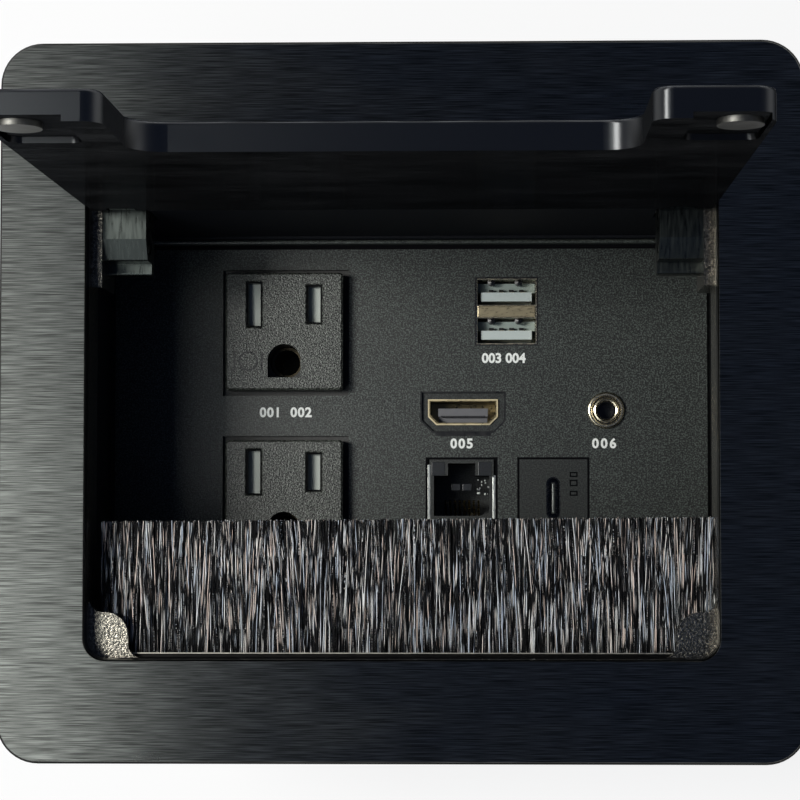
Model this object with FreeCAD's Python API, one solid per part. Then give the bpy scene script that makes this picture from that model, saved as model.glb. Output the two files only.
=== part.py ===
"""In-desk connectivity box with a flip lid, sockets, a brush outlet and desk clamps.

Frame: millimetres, X to the right, Y to the hinge side, Z up. Z = 0 is the desk surface,
which the flange rests on, and the origin is the middle of the flange. The lid stands open.
"""
import FreeCAD
import Part

import math
import os

V = FreeCAD.Vector

# How near a place has to be for an edge to be the one meant
near = 0.1
touching = 1e-4

# Clearances
slide_gap = 0.35
hinge_gap = 0.3
pin_fit = 0.04
press_fit = 0.02
screw_fit = 0.05
seat_gap = 0.15
cutout_gap = 1.0
screw_end_gap = 0.2
screw_bite = 1.0

# Bezel plate
bezel_width = 153.2
bezel_depth = 137.2
bezel_thick = 3.0
bezel_corner = 8.0
bezel_chamfer = 0.5
opening_width = 120.0
opening_depth = 91.5
opening_centre_y = -3.25
opening_corner = 4.0
opening_rear_corner = 1.0
opening_chamfer = 0.3
gasket_inset = 2.0
gasket_width = 3.0
gasket_thick = 0.8

# Cast collar
collar_wall = 4.3
collar_drop = 9.0
collar_web = 3.0
rest_drop = 2.3
rest_clear = 0.2
rest_reach_x = 7.5
rest_reach_y = 8.7
rest_round = 4.5
rest_flare = 2.5
pad_thick = 2.0
pad_drop = 16.0
pad_length = 20.2
pad_top = 2.6
rest_magnet_radius = 2.4
rest_magnet_thick = 1.2
collar_edge_screw_share = 0.8
side_screw_share = 1 / 6
brush_screw_share = 0.7

# Housing shell and bottom cover
shell_wall = 1.5
shell_bottom = 82.0
cover_thick = 1.5
cover_lip = 8.0
window_x0 = 10.0
window_width = 40.0
window_height = 20.0
window_rise = 6.0
window_corner = 2.0

# Socket panel and what carries it
panel_depth = 48.0
panel_thick = 1.5
panel_side_gap = 1.2
panel_rear_gap = 1.2
panel_front_gap = 1.3
rail_width = 8.0
rail_height = 9.0
rail_rivet_drop = 5.4
panel_corner = 1.0
panel_screw_from_wall = 6.0
panel_screw_from_front = 6.0
panel_screw_from_rear = 3.2
baffle_room = 9.4
baffle_thick = 1.2
baffle_top = 3.6
baffle_ear = 7.0
baffle_step = 0.8
baffle_rivet_low = 6.75
baffle_rivet_pitch = 11.25
hem_thick = 0.6
hem_height = 4.0

# Lid
lid_thick = 5.0
lid_side_gap = 0.5
lid_front_gap = 0.3
lid_rear_gap = 0.8
ear_width = 18.5
notch_depth = 25.8
ear_inner_corner = 3.0
notch_fillet = 6.0
lid_edge_round = 0.7
pocket_outer_wall = 0.9
pocket_width = 11.8
pocket_length = 17.5
pocket_depth = 1.0
pocket_corner = 2.0
lid_magnet_radius = 3.6
lid_magnet_thick = 0.95
lid_magnet_from_tip = 6.0
lid_magnet_inset = 5.0

# Hinges
block_width = 8.4
block_nose_reach = 11.5
block_crease_reach = 7.5
block_top = 3.0
block_nose_drop = 2.2
block_height = 10.0
foot_height = 3.0
foot_reach = 13.8
block_rear_reach = 2.0
block_nose_round = 0.5
block_screw_bite = 2.0
block_screw_from_pivot = 1.0
knuckle_width = 4.8
knuckle_radius = 2.3
knuckle_inset = 2.0
neck_half = 1.7
pin_radius = 1.25
pin_inner_length = 5.0
pin_end_gap = 0.4

# Screws and rivets
screw_radius = 1.5
screw_head_radius = 2.7
screw_head_height = 1.8
screw_drive_share = 0.6
small_screw_radius = 1.0
small_head_radius = 1.9
big_head_radius = 3.4
rivet_radius = 1.6
rivet_head_radius = 2.8
rivet_head_height = 0.8

# Brush
brush_depth = 9.0
brush_end_gap = 0.5
brush_length = 26.2
brush_root_step = 0.8
bristle_thick = 2.0
holder_height = 3.2
holder_back_gap = 0.3
holder_round = 0.4

# Power receptacles
outlet_x = -26.6
outlet_face = 24.9
outlet_proud = 4.0
outlet_from_rear = 13.3
outlet_pitch = 35.5
outlet_blade_offset = 5.7
outlet_corner = 0.8
outlet_chamfer = 0.4
outlet_body_width = 30.4
outlet_body_height = 32.0
outlet_body_depth = 21.5
blade_spacing = 12.7
blade_slot_width = 2.6
blade_slot_wide = 9.0
blade_slot_short = 7.5
blade_slot_bevel = 0.55
ground_offset = 11.9
ground_radius = 3.5
ground_flat = 3.6
shutter_depth = 2.4
shutter_room = 2.0
shutter_thick = 1.3
shutter_travel = 3.0
shutter_pad = 3.0
shutter_half_height = 5.6
shutter_rail = 0.8
contact_leaf = 0.6
contact_gap = 2.2
contact_height = 7.6
contact_length = 18.0
contact_tail = 4.0
ground_tube_wall = 0.6

# Charging port pair
charge_x = 20.5
charge_from_rear = 14.5
charge_width = 13.2
charge_height = 14.4
charge_bar = 2.8
charge_wall = 0.4
charge_length = 13.5
charge_sink = 0.3
tongue_width = 10.8
tongue_thick = 1.9
tongue_rise = 0.9
tongue_sink = 1.3
pin_strip_width = 1.1
pin_strip_thick = 0.12
pin_strip_pitch = 2.3
pin_strip_count = 4
pin_strip_start = 0.5
pin_strip_length = 9.0
board_width = 30.0
board_height = 24.0
board_thick = 1.6
case_wall = 1.5
case_depth = 20.0

# Video port
video_x = 11.2
video_from_rear = 36.0
video_recess_width = 17.6
video_recess_height = 8.2
video_recess_step = 2.4
video_shell_width = 14.7
video_shell_height = 5.3
video_shell_step = 1.7
video_shell_wall = 0.4
video_sink = 0.8
video_length = 12.0
video_tongue_width = 10.6
video_tongue_thick = 1.7
video_tongue_sink = 1.8
video_flange = 1.0

# Audio jack
audio_x = 41.6
audio_from_rear = 35.7
audio_nut_radius = 3.9
audio_barrel_radius = 2.9
audio_bore_radius = 1.8
audio_proud = 1.0
audio_body = 9.0
audio_body_depth = 13.0
audio_body_corner = 1.0
audio_nut_chamfer = 0.4
audio_barrel_proud = 0.7

# Snap-in modules
snap_from_rear = 54.3
snap_height = 16.4
snap_depth = 28.0
network_x = 10.9
snap_width = 14.7
network_shield = 0.5
network_cavity_width = 11.8
network_cavity_height = 8.6
network_cavity_depth = 15.0
network_cavity_drop = 3.4
network_latch_width = 5.8
network_latch_height = 2.6
network_pin_count = 8
network_pin_pitch = 1.02
network_pin_width = 0.4
network_pin_foot = 1.0
network_pin_lean = 3.4
network_pin_rise = 7.5
oval_x = 30.4
oval_slot_width = 3.0
oval_slot_height = 9.0
oval_slot_length = 7.0
oval_shell_wall = 0.25
oval_tongue_thick = 0.7
oval_tongue_height = 6.6
oval_sink = 0.4
oval_tongue_sink = 1.2

# Cord gland
gland_x = -40.0
gland_z = -66.0
gland_bore = 4.0
gland_thread = 7.0
gland_collar_radius = 10.0
gland_collar_length = 3.0
gland_cap_radius = 8.6
gland_cap_length = 9.0
gland_cap_round = 2.5
gland_mouth_gap = 0.5
gland_thread_reach = 5.4
gland_thread_proud = 1.0
gland_nut_radius = 9.5
gland_nut_length = 3.5
nut_corners = 6

# Desk clamps
clamp_from_centre = 0.25
clamp_screw_z = -54.0
clamp_up = 19.0
clamp_down = 4.0
clamp_thick = 2.0
clamp_width = 18.0
clamp_foot_z = -28.0
clamp_foot_reach = 10.0
clamp_foot_round = 0.9
clamp_screw_radius = 2.0
clamp_end = 4.0
knob_radius = 6.5
knob_length = 7.8
knob_flutes = 16
knob_flute_radius = 0.8
knob_round = 0.8
clamp_screw_end = 1.5
clamp_nut_radius = 4.5
clamp_nut_length = 3.0

# Terminal block and mains wires
terminal_x0 = -8.0
terminal_width = 20.0
terminal_from_wall = 12.8
terminal_depth = 11.0
terminal_height = 10.0
terminal_corner = 0.8
wire_count = 3
charger_wire_x0 = 3.1
charger_wire_spacing = 7.0
wire_radius = 1.0
wire_bend = 2.5
wire_row_high = 6.5
wire_row_low = 3.5
wire_spacing = 3.4
wire_entry = 2.2

# Places worked out from the sizes above
half_w = bezel_width / 2
half_d = bezel_depth / 2
open_x = opening_width / 2
open_front = opening_centre_y - opening_depth / 2
open_rear = opening_centre_y + opening_depth / 2
wall_x = open_x + collar_wall
wall_front = open_front - collar_wall
wall_rear = open_rear + collar_wall
baffle_y = wall_rear - baffle_room
panel_rear_y = baffle_y - panel_rear_gap
panel_front_y = wall_front + panel_front_gap
panel_z = bezel_thick - panel_depth
panel_under = panel_z - panel_thick
lid_half = open_x - lid_side_gap
pivot_y = open_rear - lid_rear_gap - lid_thick / 2
pivot_z = bezel_thick - lid_thick / 2
lid_front = pivot_y - lid_thick / 2
lid_back = pivot_y + lid_thick / 2
lid_tip_z = pivot_z + pivot_y - (open_front + lid_front_gap)
notch_z = lid_tip_z - notch_depth
notch_x = lid_half - ear_width
pad_x = open_x - pad_thick
pad_front_y = open_rear - pad_length
block_front_y = pivot_y - block_nose_reach
block_crease_y = pivot_y - block_crease_reach
foot_front_y = pivot_y - foot_reach
block_inner_x = pad_x - block_width
knuckle_x1 = pad_x - knuckle_inset
knuckle_x0 = knuckle_x1 - knuckle_width
block_z0 = -block_top - block_height
brush_z = bezel_thick - brush_depth
brush_half_width = open_x - brush_end_gap
brush_root_y = open_front + brush_root_step
brush_reach_y = brush_root_y + brush_length
rest_low = brush_z + holder_height / 2 + rest_clear
shell_screw_length = shell_wall + collar_wall - screw_bite
collar_screw_start = -collar_drop + screw_head_height
collar_screw_length = bezel_thick - gasket_thick - seat_gap - collar_screw_start
ear_outer_corner = opening_corner - lid_side_gap
holder_back = wall_front + holder_back_gap
outlet_face_z = panel_z + outlet_proud
outlet_floor_z = panel_under - outlet_body_depth
outlet_upper_blade_y = panel_rear_y - outlet_from_rear
outlet_blades = {"upper": outlet_upper_blade_y, "lower": outlet_upper_blade_y - outlet_pitch}
charge_y = panel_rear_y - charge_from_rear
video_y = panel_rear_y - video_from_rear
audio_y = panel_rear_y - audio_from_rear
snap_y = panel_rear_y - snap_from_rear
chamber_top = outlet_face_z - shutter_depth
chamber_floor = chamber_top - shutter_room
terminal_floor = -shell_bottom + cover_thick
terminal_y0 = wall_rear - terminal_from_wall
gland_y = wall_rear + shell_wall
gland_thread_end = gland_y + gland_collar_length + gland_thread_reach
contact_foot_z = outlet_floor_z + shell_wall
snap_top_y = snap_y + snap_height / 2
clamp_x = wall_x + shell_wall + hinge_gap
clamp_y = opening_centre_y + clamp_from_centre
knob_x = clamp_x + clamp_thick + hinge_gap
slot_top = clamp_screw_z + clamp_screw_radius + clamp_down + hinge_gap
slot_bottom = clamp_screw_z - clamp_screw_radius - clamp_up - hinge_gap


def box(x0, x1, y0, y1, z0, z1):
    """A block between two corners."""
    return Part.makeBox(x1 - x0, y1 - y0, z1 - z0, V(x0, y0, z0))


def rod(radius, start, direction, length):
    """A round bar from start along direction."""
    return Part.makeCylinder(radius, length, V(*start), V(*direction))


def edges_along(shape, axis):
    """The straight edges of a shape that run along one axis."""
    found = []
    for edge in shape.Edges:
        if len(edge.Vertexes) == 2 and edge.Curve.TypeId == "Part::GeomLine":
            step = edge.Vertexes[1].Point - edge.Vertexes[0].Point
            if step.Length > touching and abs(step.normalize().dot(V(*axis))) > 1 - touching:
                found.append(edge)
    return found


def rounded_box(x0, x1, y0, y1, z0, z1, radius, axis=(0, 0, 1)):
    """A block with the four edges along axis rounded."""
    block = box(x0, x1, y0, y1, z0, z1)
    return block.makeFillet(radius, edges_along(block, axis))


def edges_at(shape, axis, level):
    """The edges of a shape that lie in the plane where axis equals level."""
    index = "xyz".index(axis)
    found = []
    for edge in shape.Edges:
        if all(abs(tuple(vertex.Point)[index] - level) < touching for vertex in edge.Vertexes):
            if abs(tuple(edge.CenterOfMass)[index] - level) < touching:
                found.append(edge)
    return found


def mirror_x(shape):
    """The same shape on the other side of the middle plane."""
    return shape.mirror(V(0, 0, 0), V(1, 0, 0))


def both_sides(shape):
    """A shape and its mirror image, as a list."""
    return [shape, mirror_x(shape)]


def opening_prism(z0, z1):
    """The opening's outline: wide round corners in front, tight ones behind the hinge."""
    block = box(-open_x, open_x, open_front, open_rear, z0, z1)
    upright = edges_along(block, (0, 0, 1))
    block = block.makeFillet(opening_corner, [e for e in upright if e.CenterOfMass.y < pivot_y])
    rear = [e for e in edges_along(block, (0, 0, 1)) if e.CenterOfMass.y > open_rear - near]
    return block.makeFillet(opening_rear_corner, rear)


def save(name, solids):
    """Write one node, made of one solid or of several separate ones."""
    listed = solids if isinstance(solids, list) else [solids]
    parts = []
    for item in listed:
        parts.extend(item.Solids)
    shape = parts[0] if len(parts) == 1 else Part.makeCompound(parts)
    if not shape.isValid():
        print("not valid:", name)
    shape.exportStep("parts/" + name + ".step")
    print(name, len(parts), round(sum(p.Volume for p in parts), 1))


def pan_screw(tip, direction, length, radius=screw_radius, head_radius=screw_head_radius):
    """A pan head screw: the point under the head, the way its shaft goes, and its length."""
    shaft = rod(radius, tip, direction, length)
    back = V(*direction) * -screw_head_height
    head = Part.makeCylinder(head_radius, screw_head_height, V(*tip) + back, V(*direction))
    rim = [edge for edge in head.Edges if abs((edge.CenterOfMass - V(*tip) - back).Length) < touching]
    head = head.makeFillet(screw_head_height / 2, rim[:1])
    drive = Part.makeCylinder(radius * screw_drive_share, screw_head_height / 2, V(*tip) + back,
                              V(*direction))
    return head.fuse(shaft).cut(drive).removeSplitter()


def screw_hole(tip, direction, length, radius=screw_radius):
    """What a screw's shaft needs in the pieces it passes through."""
    extra = screw_end_gap
    start = V(*tip) - V(*direction) * extra
    return Part.makeCylinder(radius + screw_fit, length + 2 * extra, start, V(*direction))


def rivet_hole(start, direction, length):
    """What a rivet's shank needs in the pieces it passes through."""
    return rod(rivet_radius + screw_fit, start, direction, length + screw_end_gap)


def collar_screw_places():
    """Where the upright screws hold the collar under the bezel plate."""
    middle = open_x + collar_wall / 2
    rear = open_rear + collar_wall / 2
    side_front = open_front + opening_depth / 3
    side_rear = open_front + opening_depth * 2 / 3
    spots = [(middle, side_front), (middle, side_rear), (open_x / 2, rear)]
    return spots + [(-x, y) for x, y in spots]


def collar_screw_hole(place):
    """The hole of one collar screw."""
    start = (place[0], place[1], collar_screw_start)
    return screw_hole(start, (0, 0, 1), collar_screw_length, small_screw_radius)


def make_bezel():
    """The plate with its opening, a groove for the foam and blind holes for the collar's screws."""
    plate = rounded_box(-half_w, half_w, -half_d, half_d, 0, bezel_thick, bezel_corner)
    plate = plate.makeChamfer(bezel_chamfer, edges_at(plate, "z", bezel_thick))
    plate = plate.cut(opening_prism(-1, bezel_thick + 1))
    rim = []
    for edge in edges_at(plate, "z", bezel_thick):
        if max(abs(edge.BoundBox.XMax), abs(edge.BoundBox.XMin)) < open_x + 1:
            rim.append(edge)
    plate = plate.makeChamfer(opening_chamfer, rim)
    plate = plate.cut(gasket_ring())
    for place in collar_screw_places():
        plate = plate.cut(collar_screw_hole(place))
    return plate


def gasket_ring():
    """The foam ring, which lies in its groove flush with the flange's underside."""
    outer_x = half_w - gasket_inset
    outer_y = half_d - gasket_inset
    inner_x = outer_x - gasket_width
    inner_y = outer_y - gasket_width
    radius = bezel_corner - gasket_inset
    outer = rounded_box(-outer_x, outer_x, -outer_y, outer_y, 0, gasket_thick, radius)
    inner = rounded_box(-inner_x, inner_x, -inner_y, inner_y, 0, gasket_thick, radius - gasket_width)
    return outer.cut(inner)


def corner_rest():
    """The right-hand rest that the lid's ear lands on: convex nose, flared into both walls."""
    top = -rest_drop
    low = rest_low
    nose_x = open_x - rest_reach_x
    nose_y = open_front + rest_reach_y
    nose = box(nose_x, open_x + 1, open_front - 1, nose_y, low, top)
    corner = [e for e in edges_along(nose, (0, 0, 1)) if e.CenterOfMass.x < nose_x + near
              and e.CenterOfMass.y > nose_y - near]
    nose = nose.makeFillet(rest_round, corner)
    flare = box(nose_x - rest_flare, nose_x, open_front - 1, open_front + rest_flare, low, top)
    flare = flare.cut(rod(rest_flare, (nose_x - rest_flare, open_front + rest_flare, low - 1),
                          (0, 0, 1), top - low + 2))
    side = box(open_x - rest_flare, open_x + 1, nose_y, nose_y + rest_flare, low, top)
    side = side.cut(rod(rest_flare, (open_x - rest_flare, nose_y + rest_flare, low - 1),
                        (0, 0, 1), top - low + 2))
    return nose.fuse([flare, side]).removeSplitter()


def rest_magnet():
    """The magnet pressed into the underside of the right-hand rest, in the middle of its nose."""
    x = open_x - rest_reach_x + rest_round
    y = open_front + rest_reach_y - rest_round
    return rod(rest_magnet_radius, (x, y, rest_low), (0, 0, 1), rest_magnet_thick)


def hinge_pad():
    """The right-hand pad of the casting, which the hinge block is screwed to."""
    return box(pad_x, open_x + 1, pad_front_y, open_rear, -pad_drop, -pad_top)


def block_screw_places():
    """Height and depth of the two screws through each hinge block."""
    height = block_z0 + foot_height + screw_head_radius + slide_gap
    return [(block_crease_y, height), (pivot_y - block_screw_from_pivot, height)]


def make_collar():
    """The casting: a web under the plate, walls round the opening, rests and hinge pads."""
    outer = box(-wall_x - shell_wall, wall_x + shell_wall, wall_front - shell_wall,
                wall_rear + shell_wall, -collar_web, 0)
    ring = box(-wall_x, wall_x, wall_front, wall_rear, -collar_drop, -collar_web)
    collar = outer.fuse(ring)
    collar = collar.cut(opening_prism(-collar_drop - 1, 1))
    collar = collar.fuse(both_sides(corner_rest()) + both_sides(hinge_pad()))
    room = box(-brush_half_width - seat_gap, brush_half_width + seat_gap, wall_front - 1,
               open_front + opening_corner, -collar_drop - 1, brush_z + holder_height / 2)
    collar = collar.cut(room).removeSplitter()
    for x, y in collar_screw_places():
        collar = collar.cut(collar_screw_hole((x, y)))
        collar = collar.cut(rod(small_head_radius + screw_fit, (x, y, -collar_drop - 1), (0, 0, 1),
                                screw_head_height + 1))
    for y, z in block_screw_places():
        hole = screw_hole((pad_x, y, z), (1, 0, 0), pad_thick + block_screw_bite)
        collar = collar.cut(both_sides(hole))
    for x, y, z, direction in shell_screw_places():
        collar = collar.cut(screw_hole((x, y, z), direction, shell_screw_length))
    collar = collar.cut(both_sides(rest_magnet()))
    return collar


def shell_screw_places():
    """The side screws through the shell into the collar: place under the head, and direction."""
    z = -(collar_web + collar_drop) / 2
    places = []
    inset = opening_depth * side_screw_share
    for y in (open_front + inset, open_rear - inset):
        places.append((wall_x + shell_wall, y, z, (-1, 0, 0)))
        places.append((-wall_x - shell_wall, y, z, (1, 0, 0)))
    for x in (-open_x * collar_edge_screw_share, open_x * collar_edge_screw_share):
        places.append((x, wall_rear + shell_wall, z, (0, -1, 0)))
    return places


def brush_screw_places():
    """The screws through the front wall into the brush holder."""
    end = open_x * brush_screw_share
    return [(x, wall_front - shell_wall, brush_z, (0, 1, 0)) for x in (-end, 0, end)]


def rail_rivet_places():
    """The rivets that hold the two panel rails, seen from outside the shell."""
    z = panel_under - rail_rivet_drop
    return [(sx * (wall_x + shell_wall), y, z, (-sx, 0, 0)) for sx in (1, -1)
            for y in (panel_front_y + rail_width, panel_rear_y - rail_width)]


def baffle_rivet_places():
    """The rivets that hold the ears of the rear baffle."""
    y = baffle_y + baffle_thick + baffle_ear / 2
    low = panel_z + baffle_rivet_low
    return [(sx * (wall_x + shell_wall), y, z, (-sx, 0, 0)) for sx in (1, -1)
            for z in (low + baffle_rivet_pitch, low)]


def cover_screw_places():
    """The screws through the shell's sides into the bottom cover's lips."""
    z = -shell_bottom + cover_lip / 2
    return [(sx * (wall_x + shell_wall), y, z, (-sx, 0, 0)) for sx in (1, -1)
            for y in (wall_front + cover_lip, wall_rear - cover_lip)]


def window_box():
    """The cable window in the rear wall."""
    z0 = -shell_bottom + window_rise
    return rounded_box(window_x0, window_x0 + window_width, wall_rear - 1, wall_rear + shell_wall + 1,
                       z0, z0 + window_height, window_corner, (0, 1, 0))


def make_shell():
    """The folded housing: four walls with holes for what is fastened through them."""
    shell = box(-wall_x - shell_wall, wall_x + shell_wall, wall_front - shell_wall,
                wall_rear + shell_wall, -shell_bottom, -collar_web)
    shell = shell.makeFillet(shell_wall, edges_along(shell, (0, 0, 1)))
    shell = shell.cut(box(-wall_x, wall_x, wall_front, wall_rear, -shell_bottom - 1, 0))
    shell = shell.cut(window_box())
    shell = shell.cut(rod(gland_thread + screw_fit, (gland_x, wall_rear - 1, gland_z), (0, 1, 0),
                          shell_wall + 2))
    for x, y, z, direction in shell_screw_places() + brush_screw_places() + cover_screw_places():
        shell = shell.cut(screw_hole((x, y, z), direction, shell_wall))
    for x, y, z, direction in rail_rivet_places() + baffle_rivet_places():
        shell = shell.cut(rivet_hole((x, y, z), direction, shell_wall))
    for sx in (1, -1):
        start = (sx * (wall_x - 1), clamp_y, clamp_screw_z)
        shell = shell.cut(rod(clamp_screw_radius + slide_gap, start, (sx, 0, 0), shell_wall + 2))
    return shell


def make_bottom_cover():
    """A tray with lips on its two sides, inside the shell's lower edge."""
    gap = seat_gap
    base = box(-wall_x + gap, wall_x - gap, wall_front + gap, wall_rear - gap,
               -shell_bottom, -shell_bottom + cover_thick)
    lips = []
    for sx in (1, -1):
        ends = sorted((sx * (wall_x - gap), sx * (wall_x - gap - cover_thick)))
        lips.append(box(ends[0], ends[1], wall_front + gap, wall_rear - gap,
                        -shell_bottom, -shell_bottom + cover_lip))
    cover = base.fuse(lips).removeSplitter()
    for x, y, z, direction in cover_screw_places():
        cover = cover.cut(screw_hole((x, y, z), direction, shell_wall + cover_thick + 1))
    return cover


def rail_side():
    """The right-hand rail: a ledge under the panel and a leg on the shell's wall."""
    y0 = panel_front_y
    y1 = panel_rear_y
    ledge = box(wall_x - rail_width, wall_x, y0, y1, panel_under - shell_wall, panel_under)
    leg = box(wall_x - shell_wall, wall_x, y0, y1, panel_under - rail_height, panel_under)
    return ledge.fuse(leg).removeSplitter()


def panel_screw_places():
    """The four screws that hold the panel on its rails."""
    x = wall_x - panel_screw_from_wall
    return [(sx * x, y) for sx in (1, -1)
            for y in (panel_front_y + panel_screw_from_front, panel_rear_y - panel_screw_from_rear)]


def make_rails():
    """The right-hand rail with its holes, notched round the clamp's nut."""
    rails = rail_side()
    for x, y, z, direction in rail_rivet_places():
        rails = rails.cut(rivet_hole((x, y, z), direction, shell_wall * 2))
    for x, y in panel_screw_places():
        rails = rails.cut(screw_hole((x, y, panel_z), (0, 0, -1), panel_thick + shell_wall))
    half = clamp_nut_radius + seat_gap
    notch = box(wall_x - rail_width, wall_x, clamp_y - half, clamp_y + half,
                panel_under - rail_height - 1, clamp_screw_z + half)
    return rails.cut(notch)


def make_baffle():
    """The upright plate behind the sockets, with a hem at its foot and an ear at each side."""
    side = wall_x - seat_gap
    y1 = baffle_y + baffle_thick
    shoulder = -pad_drop - baffle_step
    low = box(-side, side, baffle_y, y1, panel_z, shoulder)
    neck = block_inner_x - slide_gap
    high = box(-neck, neck, baffle_y, y1, shoulder, -baffle_top)
    hem = box(-side, side, baffle_y - hem_thick, baffle_y, panel_z, panel_z + hem_height)
    lip = [e for e in edges_along(hem, (1, 0, 0)) if e.CenterOfMass.y < baffle_y - hem_thick / 2
           and e.CenterOfMass.z > panel_z + hem_height / 2]
    hem = hem.makeFillet(hem_thick / 2, lip)
    ear = box(side - baffle_thick, side, y1, y1 + baffle_ear, panel_z, panel_z / 2)
    plate = low.fuse([high, hem] + both_sides(ear)).removeSplitter()
    for x, y, z, direction in baffle_rivet_places():
        plate = plate.cut(rivet_hole((x, y, z), direction, shell_wall + seat_gap + baffle_thick))
    return plate


def make_rivets():
    """The rivets of the rails and of the baffle, heads outside."""
    rivets = []
    grip = {"rail": shell_wall * 2, "baffle": shell_wall + seat_gap + baffle_thick}
    for kind, places in (("rail", rail_rivet_places()), ("baffle", baffle_rivet_places())):
        for x, y, z, direction in places:
            back = V(x, y, z) - V(*direction) * rivet_head_height
            head = Part.makeCylinder(rivet_head_radius, rivet_head_height, back, V(*direction))
            shank = rod(rivet_radius, (x, y, z), direction, grip[kind])
            rivets.append(head.fuse(shank).removeSplitter())
    return rivets


def cut_through_panel(x, y, width, height):
    """An opening in the panel."""
    return box(x - width / 2, x + width / 2, y - height / 2, y + height / 2,
               panel_under - 1, panel_z + 1)


def port_outline(x, y, width, height, step, z0, z1):
    """A block with its two lower corners cut off at 45 degrees."""
    left = x - width / 2
    right = x + width / 2
    low = y - height / 2
    high = y + height / 2
    points = [(left, high), (right, high), (right, low + step), (right - step, low),
              (left + step, low), (left, low + step), (left, high)]
    wire = Part.makePolygon([V(px, py, z0) for px, py in points])
    return Part.Face(wire).extrude(V(0, 0, z1 - z0))


def outlet_centre_y(blade_y):
    """The middle of the receptacle whose blade slots lie at blade_y."""
    return blade_y - outlet_blade_offset


def make_panel():
    """The socket panel with a cut-out for each module."""
    side = wall_x - panel_side_gap
    panel = rounded_box(-side, side, panel_front_y, panel_rear_y, panel_under, panel_z, panel_corner)
    for blade_y in outlet_blades.values():
        size = outlet_face + 2 * cutout_gap
        panel = panel.cut(cut_through_panel(outlet_x, outlet_centre_y(blade_y), size, size))
    panel = panel.cut(cut_through_panel(charge_x, charge_y, charge_width + 2 * press_fit,
                                        charge_height + 2 * press_fit))
    panel = panel.cut(port_outline(video_x, video_y, video_recess_width, video_recess_height,
                                   video_recess_step, panel_under - 1, panel_z + 1))
    panel = panel.cut(rod(audio_barrel_radius + screw_fit, (audio_x, audio_y, panel_under - 1),
                          (0, 0, 1), panel_thick + 2))
    for x in (network_x, oval_x):
        panel = panel.cut(cut_through_panel(x, snap_y, snap_width + 2 * seat_gap,
                                            snap_height + 2 * seat_gap))
    for x, y in panel_screw_places():
        panel = panel.cut(screw_hole((x, y, panel_z), (0, 0, -1), panel_thick))
    return panel


def blade_places(blade_y):
    """The two blade slots: their middle and the slot's height."""
    return [(outlet_x - blade_spacing / 2, blade_y, blade_slot_wide),
            (outlet_x + blade_spacing / 2, blade_y, blade_slot_short)]


def outlet_contact_gap():
    """Half the width of a blade's fork."""
    return contact_gap / 2 + contact_leaf


def outlet_block(blade_y, width, height, z0, z1):
    """A block of the receptacle, centred on its face."""
    y = outlet_centre_y(blade_y)
    return rounded_box(outlet_x - width / 2, outlet_x + width / 2, y - height / 2, y + height / 2,
                       z0, z1, outlet_corner)


def make_outlet_face(blade_y):
    """The receptacle's face: slots, ground hole, and the shutter's room open at the back."""
    face = outlet_block(blade_y, outlet_face, outlet_face, chamber_floor, outlet_face_z)
    face = face.makeChamfer(outlet_chamfer, edges_at(face, "z", outlet_face_z))
    for x, slot_y, height in blade_places(blade_y):
        w = blade_slot_width / 2
        h = height / 2
        slot = box(x - w, x + w, slot_y - h, slot_y + h, chamber_floor - 1, outlet_face_z + 1)
        w += blade_slot_bevel
        h += blade_slot_bevel
        mouth = box(x - w, x + w, slot_y - h, slot_y + h,
                    outlet_face_z - blade_slot_bevel, outlet_face_z + blade_slot_bevel)
        low_edges = edges_at(mouth, "z", outlet_face_z - blade_slot_bevel)
        face = face.cut([slot, mouth.makeChamfer(blade_slot_bevel, low_edges)])
    low = blade_y - ground_offset
    hole = rod(ground_radius, (outlet_x, low, chamber_floor - 1), (0, 0, 1),
               outlet_face_z - chamber_floor + 2)
    flat = box(outlet_x - ground_radius, outlet_x + ground_radius, low - ground_flat, low,
               chamber_floor - 1, outlet_face_z + 1)
    return face.cut([hole.fuse(flat), shutter_chamber(blade_y)])


def make_outlet_back(blade_y):
    """The receptacle's body: a neck through the panel and a well for each contact."""
    neck = outlet_block(blade_y, outlet_face, outlet_face, panel_under - 1, chamber_floor)
    body = outlet_block(blade_y, outlet_body_width, outlet_body_height, outlet_floor_z, panel_under)
    back = body.fuse(neck).removeSplitter()
    w = outlet_contact_gap() + seat_gap
    h = contact_height / 2 + seat_gap
    wells = []
    for x, slot_y, _ in blade_places(blade_y):
        wells.append(box(x - w, x + w, slot_y - h, slot_y + h, contact_foot_z, chamber_floor + 1))
        wells.append(tail_slot(x, slot_y))
    low = blade_y - ground_offset
    wells.append(rod(ground_radius, (outlet_x, low, contact_foot_z), (0, 0, 1),
                     chamber_floor - contact_foot_z + 1))
    wells.append(tail_slot(outlet_x, low))
    return back.cut(wells)


def tail_slot(x, y):
    """The slot in the receptacle's floor that a contact's tail passes through."""
    return box(x - contact_leaf, x + contact_leaf, y - contact_gap, y + contact_gap,
               outlet_floor_z - 1, contact_foot_z + 1)


def shutter_span():
    """The shutter's two ends, at rest."""
    reach = blade_spacing / 2 + shutter_pad / 2
    return outlet_x - reach, outlet_x + reach


def shutter_chamber(blade_y):
    """The room that the shutter slides in."""
    x0, x1 = shutter_span()
    half = shutter_half_height + slide_gap
    return box(x0 - slide_gap, x1 + shutter_travel + slide_gap, blade_y - half, blade_y + half,
               chamber_floor, chamber_top)


def make_shutter(blade_y):
    """A pad under each slot, joined by two rails that leave the middle open."""
    x0, x1 = shutter_span()
    z0 = (chamber_top + chamber_floor - shutter_thick) / 2
    half = shutter_half_height
    plate = box(x0, x1, blade_y - half, blade_y + half, z0, z0 + shutter_thick)
    inner = half - shutter_rail
    return plate.cut(box(x0 + shutter_pad, x1 - shutter_pad, blade_y - inner, blade_y + inner,
                         z0 - 1, z0 + shutter_thick + 1))


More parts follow.
